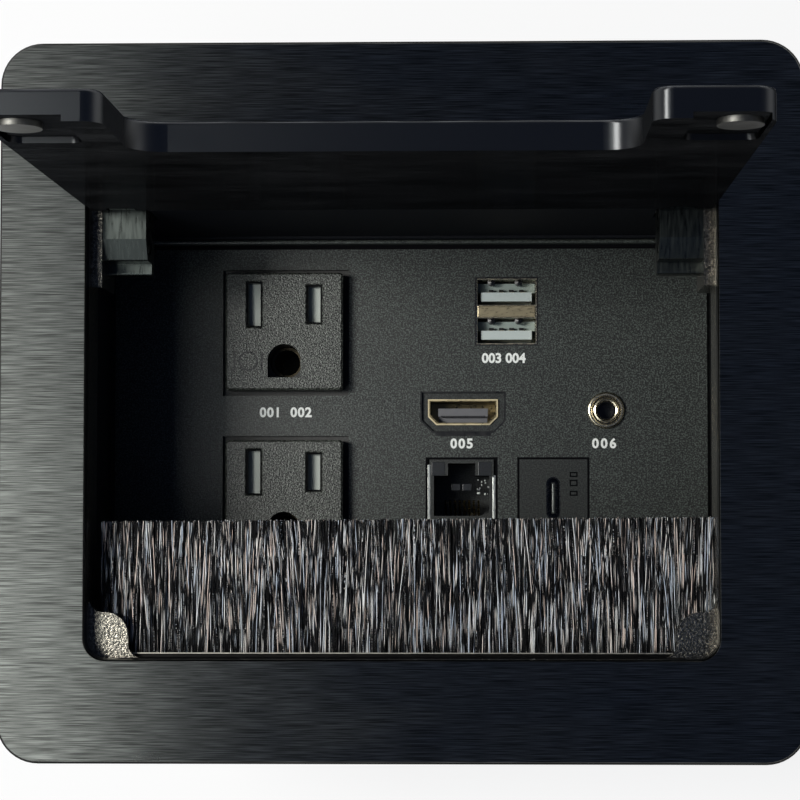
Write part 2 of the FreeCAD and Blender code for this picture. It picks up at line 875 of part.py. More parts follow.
def make_contacts(blade_y):
    """Two spring forks for the blades and a sleeve for the ground pin, each with a wire tail."""
    contacts = []
    top = contact_foot_z + contact_length
    h = contact_height / 2
    for x, slot_y, _ in blade_places(blade_y):
        w = outlet_contact_gap()
        fork = box(x - w, x + w, slot_y - h, slot_y + h, contact_foot_z, top)
        gap = box(x - contact_gap / 2, x + contact_gap / 2, slot_y - h - 1, slot_y + h + 1,
                  contact_foot_z + contact_leaf, top + 1)
        contacts.append(fork.cut(gap).fuse(wire_tail(x, slot_y)).removeSplitter())
    y = blade_y - ground_offset
    outer = rod(ground_radius - seat_gap, (outlet_x, y, contact_foot_z), (0, 0, 1), contact_length)
    inner = rod(ground_radius - seat_gap - ground_tube_wall,
                (outlet_x, y, contact_foot_z + contact_leaf), (0, 0, 1), contact_length)
    contacts.append(outer.cut(inner).fuse(wire_tail(outlet_x, y)).removeSplitter())
    return contacts


def wire_tail(x, y):
    """The tab under a contact that its wire is joined to."""
    half = contact_leaf / 2
    wide = contact_gap - seat_gap
    return box(x - half, x + half, y - wide, y + wide, outlet_floor_z - contact_tail, contact_foot_z)


def charge_cavities():
    """The two openings of the charging port pair: lowest Y and height of each."""
    height = (charge_height - charge_bar - 2 * charge_wall) / 2
    low = charge_y - charge_height / 2 + charge_wall
    return [(low, height), (low + height + charge_bar, height)]


def make_charge_shell():
    """The metal shell round the two charging ports."""
    top = panel_z - charge_sink
    shell = box(charge_x - charge_width / 2, charge_x + charge_width / 2,
                charge_y - charge_height / 2, charge_y + charge_height / 2, top - charge_length, top)
    half = charge_width / 2 - charge_wall
    for low, height in charge_cavities():
        shell = shell.cut(box(charge_x - half, charge_x + half, low, low + height,
                              top - charge_length - 1, top + 1))
    return shell


def make_charge_tongues():
    """A tongue in each opening, on a foot that fills the opening's back end."""
    tongues = []
    top = panel_z - charge_sink
    back = top - charge_length
    half = charge_width / 2 - charge_wall - press_fit
    for low, height in charge_cavities():
        foot = box(charge_x - half, charge_x + half, low + press_fit, low + height - press_fit,
                   back, back + tongue_thick)
        tongue = box(charge_x - tongue_width / 2, charge_x + tongue_width / 2, low + tongue_rise,
                     low + tongue_rise + tongue_thick, back, top - tongue_sink)
        tongues.append(foot.fuse(tongue).removeSplitter())
    return tongues


def make_charge_pins():
    """The flat contacts along each tongue."""
    pins = []
    top = panel_z - charge_sink - tongue_sink
    for low, _ in charge_cavities():
        y = low + tongue_rise + tongue_thick
        for index in range(pin_strip_count):
            x = charge_x + (index - (pin_strip_count - 1) / 2) * pin_strip_pitch
            pins.append(box(x - pin_strip_width / 2, x + pin_strip_width / 2, y, y + pin_strip_thick,
                            top - pin_strip_start - pin_strip_length, top - pin_strip_start))
    return pins


def make_charger_board():
    """The circuit board behind the charging ports."""
    z = panel_z - charge_sink - charge_length
    return box(charge_x - board_width / 2, charge_x + board_width / 2, charge_y - board_height / 2,
               charge_y + board_height / 2, z - board_thick, z)


def make_charger_case():
    """An open tray under the panel, with a ledge that the board lies on."""
    wall = case_wall
    hx = board_width / 2 + seat_gap
    hy = board_height / 2 + seat_gap
    z1 = panel_under
    z0 = panel_under - case_depth
    case = rounded_box(charge_x - hx - wall, charge_x + hx + wall, charge_y - hy - wall,
                       charge_y + hy + wall, z0, z1, wall)
    room = box(charge_x - hx, charge_x + hx, charge_y - hy, charge_y + hy, z0 + wall, z1 + 1)
    board_low = panel_z - charge_sink - charge_length - board_thick
    ledge = box(charge_x - hx, charge_x + hx, charge_y - hy, charge_y + hy, z0 + wall, board_low)
    ledge = ledge.cut(box(charge_x - hx + wall, charge_x + hx - wall, charge_y - hy + wall,
                          charge_y + hy - wall, z0, board_low + 1))
    return case.cut(room).fuse(ledge).removeSplitter()


def make_video_body():
    """The black surround: it fills the panel's cut-out, with a funnel down to the shell."""
    top = panel_z - video_sink
    fill = port_outline(video_x, video_y, video_recess_width - 2 * press_fit,
                        video_recess_height - 2 * press_fit, video_recess_step, panel_under, top)
    w = video_recess_width / 2 + video_flange
    h = video_recess_height / 2 + video_flange
    body = box(video_x - w, video_x + w, video_y - h, video_y + h,
               panel_under - video_length, panel_under)
    body = fill.fuse(body).removeSplitter()
    room = port_outline(video_x, video_y, video_shell_width + 2 * press_fit,
                        video_shell_height + 2 * press_fit, video_shell_step,
                        panel_under - video_length + case_wall, top + 1)
    return body.cut(room)


def make_video_shell():
    """The rimmed metal shell of the video port."""
    top = panel_z - video_sink + video_shell_wall
    back = panel_under - video_length + case_wall
    outer = port_outline(video_x, video_y, video_shell_width, video_shell_height,
                         video_shell_step, back, top)
    inner = port_outline(video_x, video_y, video_shell_width - 2 * video_shell_wall,
                         video_shell_height - 2 * video_shell_wall, video_shell_step,
                         back + video_shell_wall, top + 1)
    return outer.cut(inner)


def make_video_tongue():
    """The contact tongue inside the video port's shell."""
    back = panel_under - video_length + case_wall + video_shell_wall
    w = video_tongue_width / 2
    h = video_tongue_thick / 2
    return box(video_x - w, video_x + w, video_y - h, video_y + h, back, panel_z - video_tongue_sink)


def make_audio_body():
    """The moulded body of the audio jack, under the panel."""
    half = audio_body / 2
    top = panel_under
    body = rounded_box(audio_x - half, audio_x + half, audio_y - half, audio_y + half,
                       top - audio_body_depth, top, audio_body_corner)
    return body.cut(rod(audio_barrel_radius + press_fit, (audio_x, audio_y, top - audio_body_depth / 2),
                        (0, 0, 1), audio_body_depth))


def make_audio_barrel():
    """The threaded barrel, blind at its lower end."""
    low = panel_under - audio_body_depth / 2
    high = panel_z + audio_barrel_proud
    barrel = rod(audio_barrel_radius, (audio_x, audio_y, low), (0, 0, 1), high - low)
    bore = rod(audio_bore_radius, (audio_x, audio_y, low + 1), (0, 0, 1), high - low)
    return barrel.cut(bore)


def make_audio_nut():
    """The round nut that holds the audio jack on the panel."""
    nut = rod(audio_nut_radius, (audio_x, audio_y, panel_z), (0, 0, 1), audio_proud)
    nut = nut.makeChamfer(audio_nut_chamfer, edges_at(nut, "z", panel_z + audio_proud))
    return nut.cut(rod(audio_barrel_radius + press_fit, (audio_x, audio_y, panel_z - 1), (0, 0, 1),
                       audio_proud + 2))


def network_cavity():
    """The plug room of the network jack, with its latch room on the hinge side."""
    top_y = snap_top_y - network_cavity_drop
    half = network_cavity_width / 2
    low = panel_z - network_cavity_depth
    main = box(network_x - half, network_x + half, top_y - network_cavity_height, top_y,
               low, panel_z + 1)
    latch_half = network_latch_width / 2
    latch = box(network_x - latch_half, network_x + latch_half, top_y - 1,
                top_y + network_latch_height, low, panel_z + 1)
    return main.fuse(latch)


def make_network_body():
    """The snap-in jack's body with its plug room."""
    half = snap_width / 2 - network_shield - press_fit
    body = box(network_x - half, network_x + half, snap_y - snap_height / 2, snap_y + snap_height / 2,
               panel_z - snap_depth, panel_z)
    return body.cut(network_cavity())


def make_network_shield():
    """A thin metal side plate on each flank of the jack."""
    plates = []
    for sx in (1, -1):
        outer = network_x + sx * snap_width / 2
        ends = sorted((outer, outer - sx * network_shield))
        plates.append(box(ends[0], ends[1], snap_y - snap_height / 2, snap_top_y - network_cavity_drop,
                          panel_z - snap_depth, panel_z - seat_gap))
    return plates


def make_network_pins():
    """The row of spring contacts, which slope across the cavity from its lower wall."""
    pins = []
    low_y = snap_top_y - network_cavity_drop - network_cavity_height
    middle = (network_pin_count - 1) / 2
    for index in range(network_pin_count):
        x = network_x + (index - middle) * network_pin_pitch
        z0 = panel_z - network_cavity_depth
        tip_y = low_y + network_pin_lean
        tip_z = z0 + network_pin_rise
        points = [(low_y, z0), (low_y + network_pin_foot, z0), (tip_y, tip_z),
                  (tip_y - network_pin_width, tip_z + network_pin_width)]
        wire = Part.makePolygon([V(x - network_pin_width / 2, y, z) for y, z in points + points[:1]])
        pins.append(Part.Face(wire).extrude(V(network_pin_width, 0, 0)))
    return pins


def oval_prism(width, height, z0, z1):
    """An upright slot shape with round ends."""
    radius = width / 2
    middle = height / 2 - radius
    block = box(oval_x - radius, oval_x + radius, snap_y - middle, snap_y + middle, z0, z1)
    ends = [rod(radius, (oval_x, snap_y + side * middle, z0), (0, 0, 1), z1 - z0) for side in (1, -1)]
    return block.fuse(ends).removeSplitter()


def make_oval_body():
    """The snap-in body of the oval port."""
    half = snap_width / 2
    body = box(oval_x - half, oval_x + half, snap_y - snap_height / 2, snap_y + snap_height / 2,
               panel_z - snap_depth, panel_z)
    room = oval_prism(oval_slot_width, oval_slot_height, panel_z - oval_slot_length, panel_z + 1)
    return body.cut(room)


def make_oval_shell():
    """The oval port's metal shell, closed at its inner end."""
    outer_w = oval_slot_width - 2 * press_fit
    outer_h = oval_slot_height - 2 * press_fit
    z0 = panel_z - oval_slot_length
    z1 = panel_z - oval_sink
    outer = oval_prism(outer_w, outer_h, z0, z1)
    inner = oval_prism(outer_w - 2 * oval_shell_wall, outer_h - 2 * oval_shell_wall,
                       z0 + oval_shell_wall, z1 + 1)
    return outer.cut(inner)


def make_oval_tongue():
    """The contact tongue in the middle of the oval port."""
    z0 = panel_z - oval_slot_length + oval_shell_wall
    t = oval_tongue_thick / 2
    h = oval_tongue_height / 2
    return box(oval_x - t, oval_x + t, snap_y - h, snap_y + h, z0, panel_z - oval_tongue_sink)


def make_brush_holder():
    """A bar with a slot along it that grips the bristles."""
    half = holder_height / 2
    bar = rounded_box(-brush_half_width, brush_half_width, holder_back, brush_root_y,
                      brush_z - half, brush_z + half - seat_gap, holder_round, (1, 0, 0))
    bar = bar.cut(box(-brush_half_width - 1, brush_half_width + 1, bristle_back(), brush_root_y + 1,
                      brush_z - bristle_thick / 2, brush_z + bristle_thick / 2))
    for x, y, z, direction in brush_screw_places():
        bar = bar.cut(screw_hole((x, y, z), direction, brush_screw_length()))
    return bar


def bristle_back():
    """Where the bristles' roots end, half way into the holder."""
    return (holder_back + brush_root_y) / 2


def brush_screw_length():
    """From under the head to just short of the bristles' roots."""
    return bristle_back() - (wall_front - shell_wall) - screw_end_gap - seat_gap


def make_bristles():
    """The bristles as one flat pack, from the holder's slot to their tips."""
    return box(-brush_half_width, brush_half_width, bristle_back(), brush_reach_y,
               brush_z - bristle_thick / 2, brush_z + bristle_thick / 2)


def make_hinge_block():
    """The right-hand block: sloping nose, lower foot, and a knuckle on a neck."""
    rear_y = pivot_y + block_rear_reach
    points = [(rear_y, block_z0), (rear_y, -block_top), (block_crease_y, -block_top),
              (block_front_y, -block_top - block_nose_drop), (block_front_y, block_z0 + foot_height),
              (foot_front_y, block_z0 + foot_height), (foot_front_y, block_z0), (rear_y, block_z0)]
    wire = Part.makePolygon([V(block_inner_x, y, z) for y, z in points])
    body = Part.Face(wire).extrude(V(block_width, 0, 0))
    rounded = [e for e in edges_along(body, (1, 0, 0)) if e.CenterOfMass.y < block_front_y + near
               and e.CenterOfMass.z > block_z0 + near and abs(e.CenterOfMass.y - block_front_y) > near
               or abs(e.CenterOfMass.z + block_top + block_nose_drop) < near]
    body = body.makeFillet(block_nose_round, rounded)
    knuckle = rod(knuckle_radius, (knuckle_x0, pivot_y, pivot_z), (1, 0, 0), knuckle_width)
    neck = box(knuckle_x0, knuckle_x1, pivot_y - neck_half, pivot_y + neck_half, -block_top - 1, pivot_z)
    block = body.fuse([knuckle, neck]).removeSplitter()
    block = block.cut(rod(pin_radius + pin_fit, (knuckle_x0 - 1, pivot_y, pivot_z), (1, 0, 0),
                          knuckle_width + 2))
    for y, z in block_screw_places():
        head = rod(screw_head_radius + screw_fit, (block_inner_x - 1, y, z), (1, 0, 0),
                   screw_head_height + 1)
        shaft = screw_hole((block_inner_x + screw_head_height, y, z), (1, 0, 0), block_width)
        block = block.cut([head, shaft])
    return block


def make_block_screws():
    """Two screws through each hinge block into the casting's pad."""
    screws = []
    for y, z in block_screw_places():
        tip = (block_inner_x + screw_head_height, y, z)
        length = block_width - screw_head_height + pad_thick + block_screw_bite
        screws.extend(both_sides(pan_screw(tip, (1, 0, 0), length)))
    return screws


def pin_span():
    """The right-hand hinge pin's two ends."""
    return knuckle_x0 - hinge_gap - pin_inner_length, lid_half - pin_end_gap


def make_hinge_pin():
    """The right-hand pin, pressed into the lid and free in the block's knuckle."""
    x0, x1 = pin_span()
    return rod(pin_radius, (x0, pivot_y, pivot_z), (1, 0, 0), x1 - x0)


def lid_pocket():
    """The right-hand recess under the ear, open at the lid's tip."""
    x1 = lid_half - pocket_outer_wall
    x0 = x1 - pocket_width
    z0 = lid_tip_z - pocket_length
    pocket = box(x0, x1, lid_front - 1, lid_front + pocket_depth, z0, lid_tip_z + pocket_length)
    return pocket.makeFillet(pocket_corner, edges_along(pocket, (0, 1, 0)))


def make_lid():
    """The lid, standing open: its front face is the underside when it is shut."""
    lid = box(-lid_half, lid_half, lid_front, lid_back, pivot_z, lid_tip_z)
    lid = lid.cut(box(-notch_x, notch_x, lid_front - 1, lid_back + 1, notch_z, lid_tip_z + 1))
    corners = [(lid_tip_z, lid_half, ear_outer_corner), (lid_tip_z, notch_x, ear_inner_corner),
               (notch_z, notch_x, notch_fillet)]
    for z, x, radius in corners:
        found = [e for e in edges_along(lid, (0, 1, 0)) if abs(e.CenterOfMass.z - z) < near
                 and abs(abs(e.CenterOfMass.x) - x) < near]
        lid = lid.makeFillet(radius, found)
    rim = [e for e in edges_at(lid, "y", lid_back) if e.CenterOfMass.z > pivot_z + near]
    lid = lid.makeFillet(lid_edge_round, rim)
    end = rod(lid_thick / 2, (-lid_half, pivot_y, pivot_z), (1, 0, 0), 2 * lid_half)
    lid = lid.fuse(end).removeSplitter()
    slot_z = pivot_z + knuckle_radius + slide_gap
    slot = box(knuckle_x0 - hinge_gap, knuckle_x1 + hinge_gap, lid_front - 1, lid_back + 1,
               pivot_z - lid_thick, slot_z)
    x0, x1 = pin_span()
    bore = rod(pin_radius + press_fit, (x0 - 1, pivot_y, pivot_z), (1, 0, 0), lid_half - x0 + 2)
    return lid.cut(both_sides(slot) + both_sides(bore) + both_sides(lid_pocket()))


def make_lid_magnet():
    """The right-hand disc in its pocket."""
    x = lid_half - lid_magnet_inset
    z = lid_tip_z - lid_magnet_from_tip
    y = lid_front + pocket_depth
    return rod(lid_magnet_radius, (x, y, z), (0, -1, 0), lid_magnet_thick)


def gland_rod(radius, y0, y1):
    """A round bar on the gland's axis."""
    return rod(radius, (gland_x, y0, gland_z), (0, 1, 0), y1 - y0)


def make_gland():
    """The gland's body: thread through the wall, collar outside, bore right through."""
    inner_end = wall_rear - gland_nut_length - gland_thread_proud
    body = gland_rod(gland_thread, inner_end, gland_thread_end)
    body = body.fuse(gland_rod(gland_collar_radius, gland_y, gland_y + gland_collar_length))
    bore = gland_rod(gland_bore, inner_end - 1, gland_thread_end + 1)
    return body.removeSplitter().cut(bore)


def make_gland_cap():
    """The cap that screws on the gland and grips the cord."""
    y0 = gland_y + gland_collar_length
    y1 = y0 + gland_cap_length
    cap = gland_rod(gland_cap_radius, y0, y1)
    cap = cap.makeFillet(gland_cap_round, edges_at(cap, "y", y1))
    cap = cap.cut(gland_rod(gland_thread + press_fit, y0 - 1, gland_thread_end + seat_gap))
    return cap.cut(gland_rod(gland_bore + gland_mouth_gap, y0 - 1, y1 + 1))


def make_gland_nut():
    """The hexagon nut inside the rear wall."""
    y0 = wall_rear - gland_nut_length
    points = []
    for corner in range(nut_corners + 1):
        angle = 2 * math.pi * corner / nut_corners
        x = gland_x + gland_nut_radius * math.cos(angle)
        points.append(V(x, y0, gland_z + gland_nut_radius * math.sin(angle)))
    nut = Part.Face(Part.makePolygon(points)).extrude(V(0, gland_nut_length, 0))
    return nut.cut(gland_rod(gland_thread + press_fit, y0 - 1, wall_rear + 1))


def make_clamp_bracket():
    """The right-hand bracket: a leg with a long slot and a foot under the desk."""
    y0 = clamp_y - clamp_width / 2
    y1 = clamp_y + clamp_width / 2
    leg = box(clamp_x, clamp_x + clamp_thick, y0, y1, slot_bottom - clamp_end, clamp_foot_z)
    foot = rounded_box(clamp_x, clamp_x + clamp_foot_reach, y0, y1, clamp_foot_z - clamp_thick,
                       clamp_foot_z, clamp_foot_round, (0, 1, 0))
    bracket = leg.fuse(foot).removeSplitter()
    half = clamp_screw_radius + hinge_gap
    slot = box(clamp_x - 1, clamp_x + clamp_thick + 1, clamp_y - half, clamp_y + half,
               slot_bottom, slot_top)
    return bracket.cut(slot)


def make_clamp_knob():
    """The right-hand clamp screw: fluted head outside, shaft through slot, wall and nut."""
    head = rod(knob_radius, (knob_x, clamp_y, clamp_screw_z), (1, 0, 0), knob_length)
    rims = [e for e in head.Edges if e.Curve.TypeId == "Part::GeomCircle"]
    head = head.makeFillet(knob_round, rims)
    flutes = []
    for index in range(knob_flutes):
        angle = 2 * math.pi * index / knob_flutes
        y = clamp_y + knob_radius * math.cos(angle)
        z = clamp_screw_z + knob_radius * math.sin(angle)
        flutes.append(rod(knob_flute_radius, (knob_x - 1, y, z), (1, 0, 0), knob_length + 2))
    head = head.cut(flutes)
    inner = wall_x - clamp_nut_length - clamp_screw_end
    shaft = rod(clamp_screw_radius, (inner, clamp_y, clamp_screw_z), (1, 0, 0), knob_x - inner + 1)
    return head.fuse(shaft).removeSplitter()


def make_clamp_nut():
    """The nut pressed against the inside of the shell's right wall."""
    start = (wall_x - clamp_nut_length, clamp_y, clamp_screw_z)
    nut = rod(clamp_nut_radius, start, (1, 0, 0), clamp_nut_length)
    hole = rod(clamp_screw_radius + screw_fit, (start[0] - 1, clamp_y, clamp_screw_z), (1, 0, 0),
               clamp_nut_length + 2)
    return nut.cut(hole)


def wire_exits():
    """The height of the two rows of wires that leave the terminal block, and their depths."""
    rows = {"upper": terminal_floor + wire_row_high, "lower": terminal_floor + wire_row_low}
    depths = [terminal_y0 + wire_entry + index * wire_spacing for index in range(wire_count)]
    return rows, depths


def make_terminal_block():
    """The block that the mains wires meet in, with a screw well for each."""
    middle_y = terminal_y0 + terminal_depth / 2
    middle_z = terminal_floor + terminal_height / 2
    base = rounded_box(terminal_x0, terminal_x0 + terminal_width, terminal_y0,
                       terminal_y0 + terminal_depth, terminal_floor,
                       terminal_floor + terminal_height, terminal_corner)
    for index in range(wire_count):
        x = terminal_x0 + terminal_width * (index + 0.5) / wire_count
        base = base.cut(rod(screw_radius, (x, middle_y, middle_z), (0, 0, 1), terminal_height))
    return base


def bent_wire(points):
    """A round wire along straight runs joined by equal bends."""
    corners = [V(*p) for p in points]
    edges = []
    start = corners[0]
    for before, corner, after in zip(corners, corners[1:], corners[2:]):
        into = (before - corner).normalize() * wire_bend
        out = (after - corner).normalize() * wire_bend
        bend_in = corner + into
        bend_out = corner + out
        middle = corner + (into + out) * (1 - math.sqrt(0.5))
        edges.append(Part.LineSegment(start, bend_in).toShape())
        edges.append(Part.Arc(bend_in, middle, bend_out).toShape())
        start = bend_out
    edges.append(Part.LineSegment(start, corners[-1]).toShape())
    way = (corners[1] - corners[0]).normalize()
    ring = Part.Wire(Part.Circle(corners[0], way, wire_radius).toShape())
    return Part.Wire(edges).makePipeShell([ring], True, True)


def make_wires():
    """Three wires from the terminal block to each receptacle's tails, and two to the charger."""
    rows, depths = wire_exits()
    wires = []
    tail_z = outlet_floor_z - contact_tail
    for side, blade_y in outlet_blades.items():
        left, right = blade_places(blade_y)
        ends = [(right[0], right[1]), (outlet_x, blade_y - ground_offset), (left[0], left[1])]
        z = rows[side]
        for (x, y), depth in zip(ends, depths):
            wires.append(bent_wire([(terminal_x0, depth, z), (x, depth, z), (x, y, z), (x, y, tail_z)]))
    case_low = panel_under - case_depth
    z = rows["upper"]
    for x in (charger_wire_x0, charger_wire_x0 + charger_wire_spacing):
        wires.append(bent_wire([(x, terminal_y0, z), (x, charge_y + wire_bend, z),
                                (x, charge_y + wire_bend, case_low)]))
    return wires


def make_all():
    """Write every node."""
    os.makedirs("parts", exist_ok=True)
    save("bezel_plate", make_bezel())
    save("collar_casting", make_collar())
    save("desk_gasket", gasket_ring())
    save("rest_magnets", both_sides(rest_magnet()))
    save("collar_screws", [pan_screw((x, y, collar_screw_start), (0, 0, 1), collar_screw_length,
                                     small_screw_radius, small_head_radius)
                           for x, y in collar_screw_places()])
    save("housing_shell", make_shell())
    save("shell_screws", [pan_screw((x, y, z), way, shell_screw_length)
                          for x, y, z, way in shell_screw_places()])
    save("bottom_cover", make_bottom_cover())
    save("cover_screws", [pan_screw((x, y, z), way, shell_wall + cover_thick + 1)
                          for x, y, z, way in cover_screw_places()])
    rails = make_rails()
    save("panel_rail_right", rails)
    save("panel_rail_left", mirror_x(rails))
    save("rear_baffle", make_baffle())
    save("rivets", make_rivets())
    save("socket_panel", make_panel())
    save("panel_screws", [pan_screw((x, y, panel_z), (0, 0, -1), panel_thick + shell_wall,
                                    screw_radius, big_head_radius) for x, y in panel_screw_places()])
    for side, blade_y in outlet_blades.items():
        save("receptacle_face_" + side, make_outlet_face(blade_y))
        save("receptacle_back_" + side, make_outlet_back(blade_y))
        save("shutter_" + side, make_shutter(blade_y))
        save("receptacle_contacts_" + side, make_contacts(blade_y))
    save("charge_port_shell", make_charge_shell())
    save("charge_port_tongues", make_charge_tongues())
    save("charge_port_contacts", make_charge_pins())
    save("charger_board", make_charger_board())
    save("charger_case", make_charger_case())
    save("video_port_body", make_video_body())
    save("video_port_shell", make_video_shell())
    save("video_port_tongue", make_video_tongue())
    save("audio_jack_body", make_audio_body())
    save("audio_jack_barrel", make_audio_barrel())
    save("audio_jack_nut", make_audio_nut())
    save("network_jack_body", make_network_body())
    save("network_jack_shield", make_network_shield())
    save("network_jack_contacts", make_network_pins())
    save("oval_port_body", make_oval_body())
    save("oval_port_shell", make_oval_shell())
    save("oval_port_tongue", make_oval_tongue())
    save("brush_holder", make_brush_holder())
    save("brush_bristles", make_bristles())
    save("brush_screws", [pan_screw((x, y, z), way, brush_screw_length())
                          for x, y, z, way in brush_screw_places()])
    block = make_hinge_block()
    save("hinge_block_right", block)
    save("hinge_block_left", mirror_x(block))
    save("hinge_block_screws", make_block_screws())
    pin = make_hinge_pin()
    save("hinge_pin_right", pin)
    save("hinge_pin_left", mirror_x(pin))
    save("lid_plate", make_lid())
    save("lid_magnets", both_sides(make_lid_magnet()))
    save("cord_gland", make_gland())
    save("gland_cap", make_gland_cap())
    save("gland_nut", make_gland_nut())
    bracket = make_clamp_bracket()
    knob = make_clamp_knob()
    save("clamp_bracket_right", bracket)
    save("clamp_bracket_left", mirror_x(bracket))
    save("clamp_knob_right", knob)
    save("clamp_knob_left", mirror_x(knob))
    save("clamp_nuts", both_sides(make_clamp_nut()))
    save("terminal_block", make_terminal_block())
    save("mains_wires", make_wires())


make_all()
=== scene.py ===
# %% [markdown]
# An in-desk box for power and data, seen from straight above with its lid standing open.
# The solids of the box come from its own model, so this lesson is about dressing them: one
# finish for each kind of surface, and new meshes only where a surface has more shape than the
# plain solid holds, such as the brush's filaments. Blender counts in metres, so a length in
# millimetres is written as a number times mm.

import math
import random

import bmesh
import bpy
from mathutils import Matrix, Vector


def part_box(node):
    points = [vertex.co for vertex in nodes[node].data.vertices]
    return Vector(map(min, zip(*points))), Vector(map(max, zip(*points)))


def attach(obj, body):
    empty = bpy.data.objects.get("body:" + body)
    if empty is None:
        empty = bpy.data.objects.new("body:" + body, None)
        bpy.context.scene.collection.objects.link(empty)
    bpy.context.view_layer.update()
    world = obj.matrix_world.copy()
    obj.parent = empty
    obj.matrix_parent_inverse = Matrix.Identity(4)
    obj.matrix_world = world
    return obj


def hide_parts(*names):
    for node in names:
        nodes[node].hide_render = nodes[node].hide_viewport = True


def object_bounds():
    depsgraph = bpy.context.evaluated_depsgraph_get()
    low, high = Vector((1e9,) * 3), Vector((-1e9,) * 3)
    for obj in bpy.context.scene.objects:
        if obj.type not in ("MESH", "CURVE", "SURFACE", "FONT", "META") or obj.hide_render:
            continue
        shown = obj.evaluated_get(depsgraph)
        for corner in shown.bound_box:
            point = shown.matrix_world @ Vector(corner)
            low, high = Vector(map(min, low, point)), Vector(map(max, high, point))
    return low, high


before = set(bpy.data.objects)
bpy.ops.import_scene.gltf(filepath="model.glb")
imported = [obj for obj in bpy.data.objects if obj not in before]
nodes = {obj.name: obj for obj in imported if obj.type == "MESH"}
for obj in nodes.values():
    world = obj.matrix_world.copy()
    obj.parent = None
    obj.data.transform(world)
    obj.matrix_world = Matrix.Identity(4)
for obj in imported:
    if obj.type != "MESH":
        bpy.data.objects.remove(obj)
cad_low, cad_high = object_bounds()
mm = 0.001
scene = bpy.context.scene
print("box of the solids:", [round(v / mm, 1) for v in cad_high - cad_low], "mm")

# %% [markdown]
# The camera comes first, because every choice of finish is judged through it. It hangs
# about 380 mm above the bezel, a little to the right of the middle and towards the user, and
# leans by two degrees. A long lens keeps the lid's ears from spreading too far. The small
# shift stands for a photograph that was cropped off its middle.

# %% Camera
picture = 800
camera_place = Vector((16.4, -21.7, 384.8)) * mm
lens_pixels = 2021
centre_pixel = (442.9, 436.8)
lean = (-0.0387, -0.0220, 0.0013)

camera_data = bpy.data.cameras.new("camera")
camera_data.sensor_width = 36
camera_data.lens = lens_pixels * camera_data.sensor_width / picture
camera_data.shift_x = 0.5 - centre_pixel[0] / picture
camera_data.shift_y = centre_pixel[1] / picture - 0.5
camera = bpy.data.objects.new("camera", camera_data)
scene.collection.objects.link(camera)
turn = Matrix.Identity(3)
for angle, axis in zip(lean, "XYZ"):
    turn = Matrix.Rotation(angle, 3, axis) @ turn
camera.location = camera_place
camera.rotation_euler = turn.transposed().to_euler()
scene.camera = camera
scene.view_settings.view_transform = "Standard"
print("lens:", round(camera_data.lens, 1), "mm")

# %% [markdown]
# A shader is a graph of small nodes. These helpers write the ones that many cells need: a step
# of arithmetic, a mix, one axis of a place, and colours laid along a value. A value is a plain
# number or colour, or the output of another node.

# %% Helpers for shader nodes
mix_sockets = {"FLOAT": (2, 3, 0), "RGBA": (6, 7, 2)}


def feed(tree, socket, value):
    """Give a socket a constant, or the output of another node."""
    if isinstance(value, bpy.types.NodeSocket):
        tree.links.new(value, socket)
    else:
        socket.default_value = value


def calculate(tree, operation, *values):
    """The result of one step of arithmetic."""
    node = tree.nodes.new("ShaderNodeMath")
    node.operation = operation
    for socket, value in zip(node.inputs, values):
        feed(tree, socket, value)
    return node.outputs[0]


def mix(tree, kind, share, first, second):
    """The first value where the share is 0, and the second where it is 1."""
    node = tree.nodes.new("ShaderNodeMix")
    node.data_type = kind
    first_index, second_index, result = mix_sockets[kind]
    for index, value in ((0, share), (first_index, first), (second_index, second)):
        feed(tree, node.inputs[index], value)
    return node.outputs[result]


def axis_of(tree, source, axis):
    """One axis of a texture coordinate."""
    place = tree.nodes.new("ShaderNodeTexCoord")
    split = tree.nodes.new("ShaderNodeSeparateXYZ")
    tree.links.new(place.outputs[source], split.inputs[0])
    return split.outputs[axis]


def ramp(tree, value, stops):
    """Colours or greys laid along a value."""
    node = tree.nodes.new("ShaderNodeValToRGB")
    while len(node.color_ramp.elements) < len(stops):
        node.color_ramp.elements.new(0.5)
    for element, (place, color) in zip(node.color_ramp.elements, stops):
        element.position = place
        element.color = (*color, 1)
    tree.links.new(value, node.inputs[0])
    return node.outputs[0]


# %% [markdown]
# Black metal shows nothing but what it mirrors, so the light is designed as a picture for the
# metal to reflect. A softbox hangs to the left and makes the bezel pale on that side, a skirt
# beside it lets that pale side fade out towards the user, and a panel lights the case's front.
# The room is pale at the horizon, for the side views, and dim overhead, so that the right half
# of the bezel stays almost black. A gradient on the room's direction gives both at once.

# %% Light
def area_light(name, place, size, watts, tint):
    """A soft rectangle that faces straight down."""
    data = bpy.data.lights.new(name, "AREA")
    data.shape = "RECTANGLE"
    data.size, data.size_y = size
    data.energy = watts
    data.color = tint
    lamp = bpy.data.objects.new(name, data)
    lamp.location = place
    scene.collection.objects.link(lamp)


area_light("softbox", (-0.47, 0.06, 0.62), (0.3, 0.13), 6.3, (1.0, 0.99, 0.94))
area_light("softbox_skirt", (-0.256, -0.15, 0.62), (0.156, 0.4), 0.76, (0.96, 1.0, 0.97))
area_light("front_panel", (-0.33, -0.72, 0.6), (0.42, 0.5), 0.9, (0.97, 1.0, 0.98))

horizon_color = (0.8, 0.81, 0.82)
overhead_color = (0.042, 0.058, 0.105)
room = bpy.data.worlds.new("room")
scene.world = room
room.use_nodes = True
room_tree = room.node_tree
room_color = ramp(room_tree, axis_of(room_tree, "Generated", "Z"),
                  [(0.05, horizon_color), (0.5, overhead_color)])
room_tree.links.new(room_color, room_tree.nodes["Background"].inputs["Color"])
print("lamps:", len(bpy.data.lights))

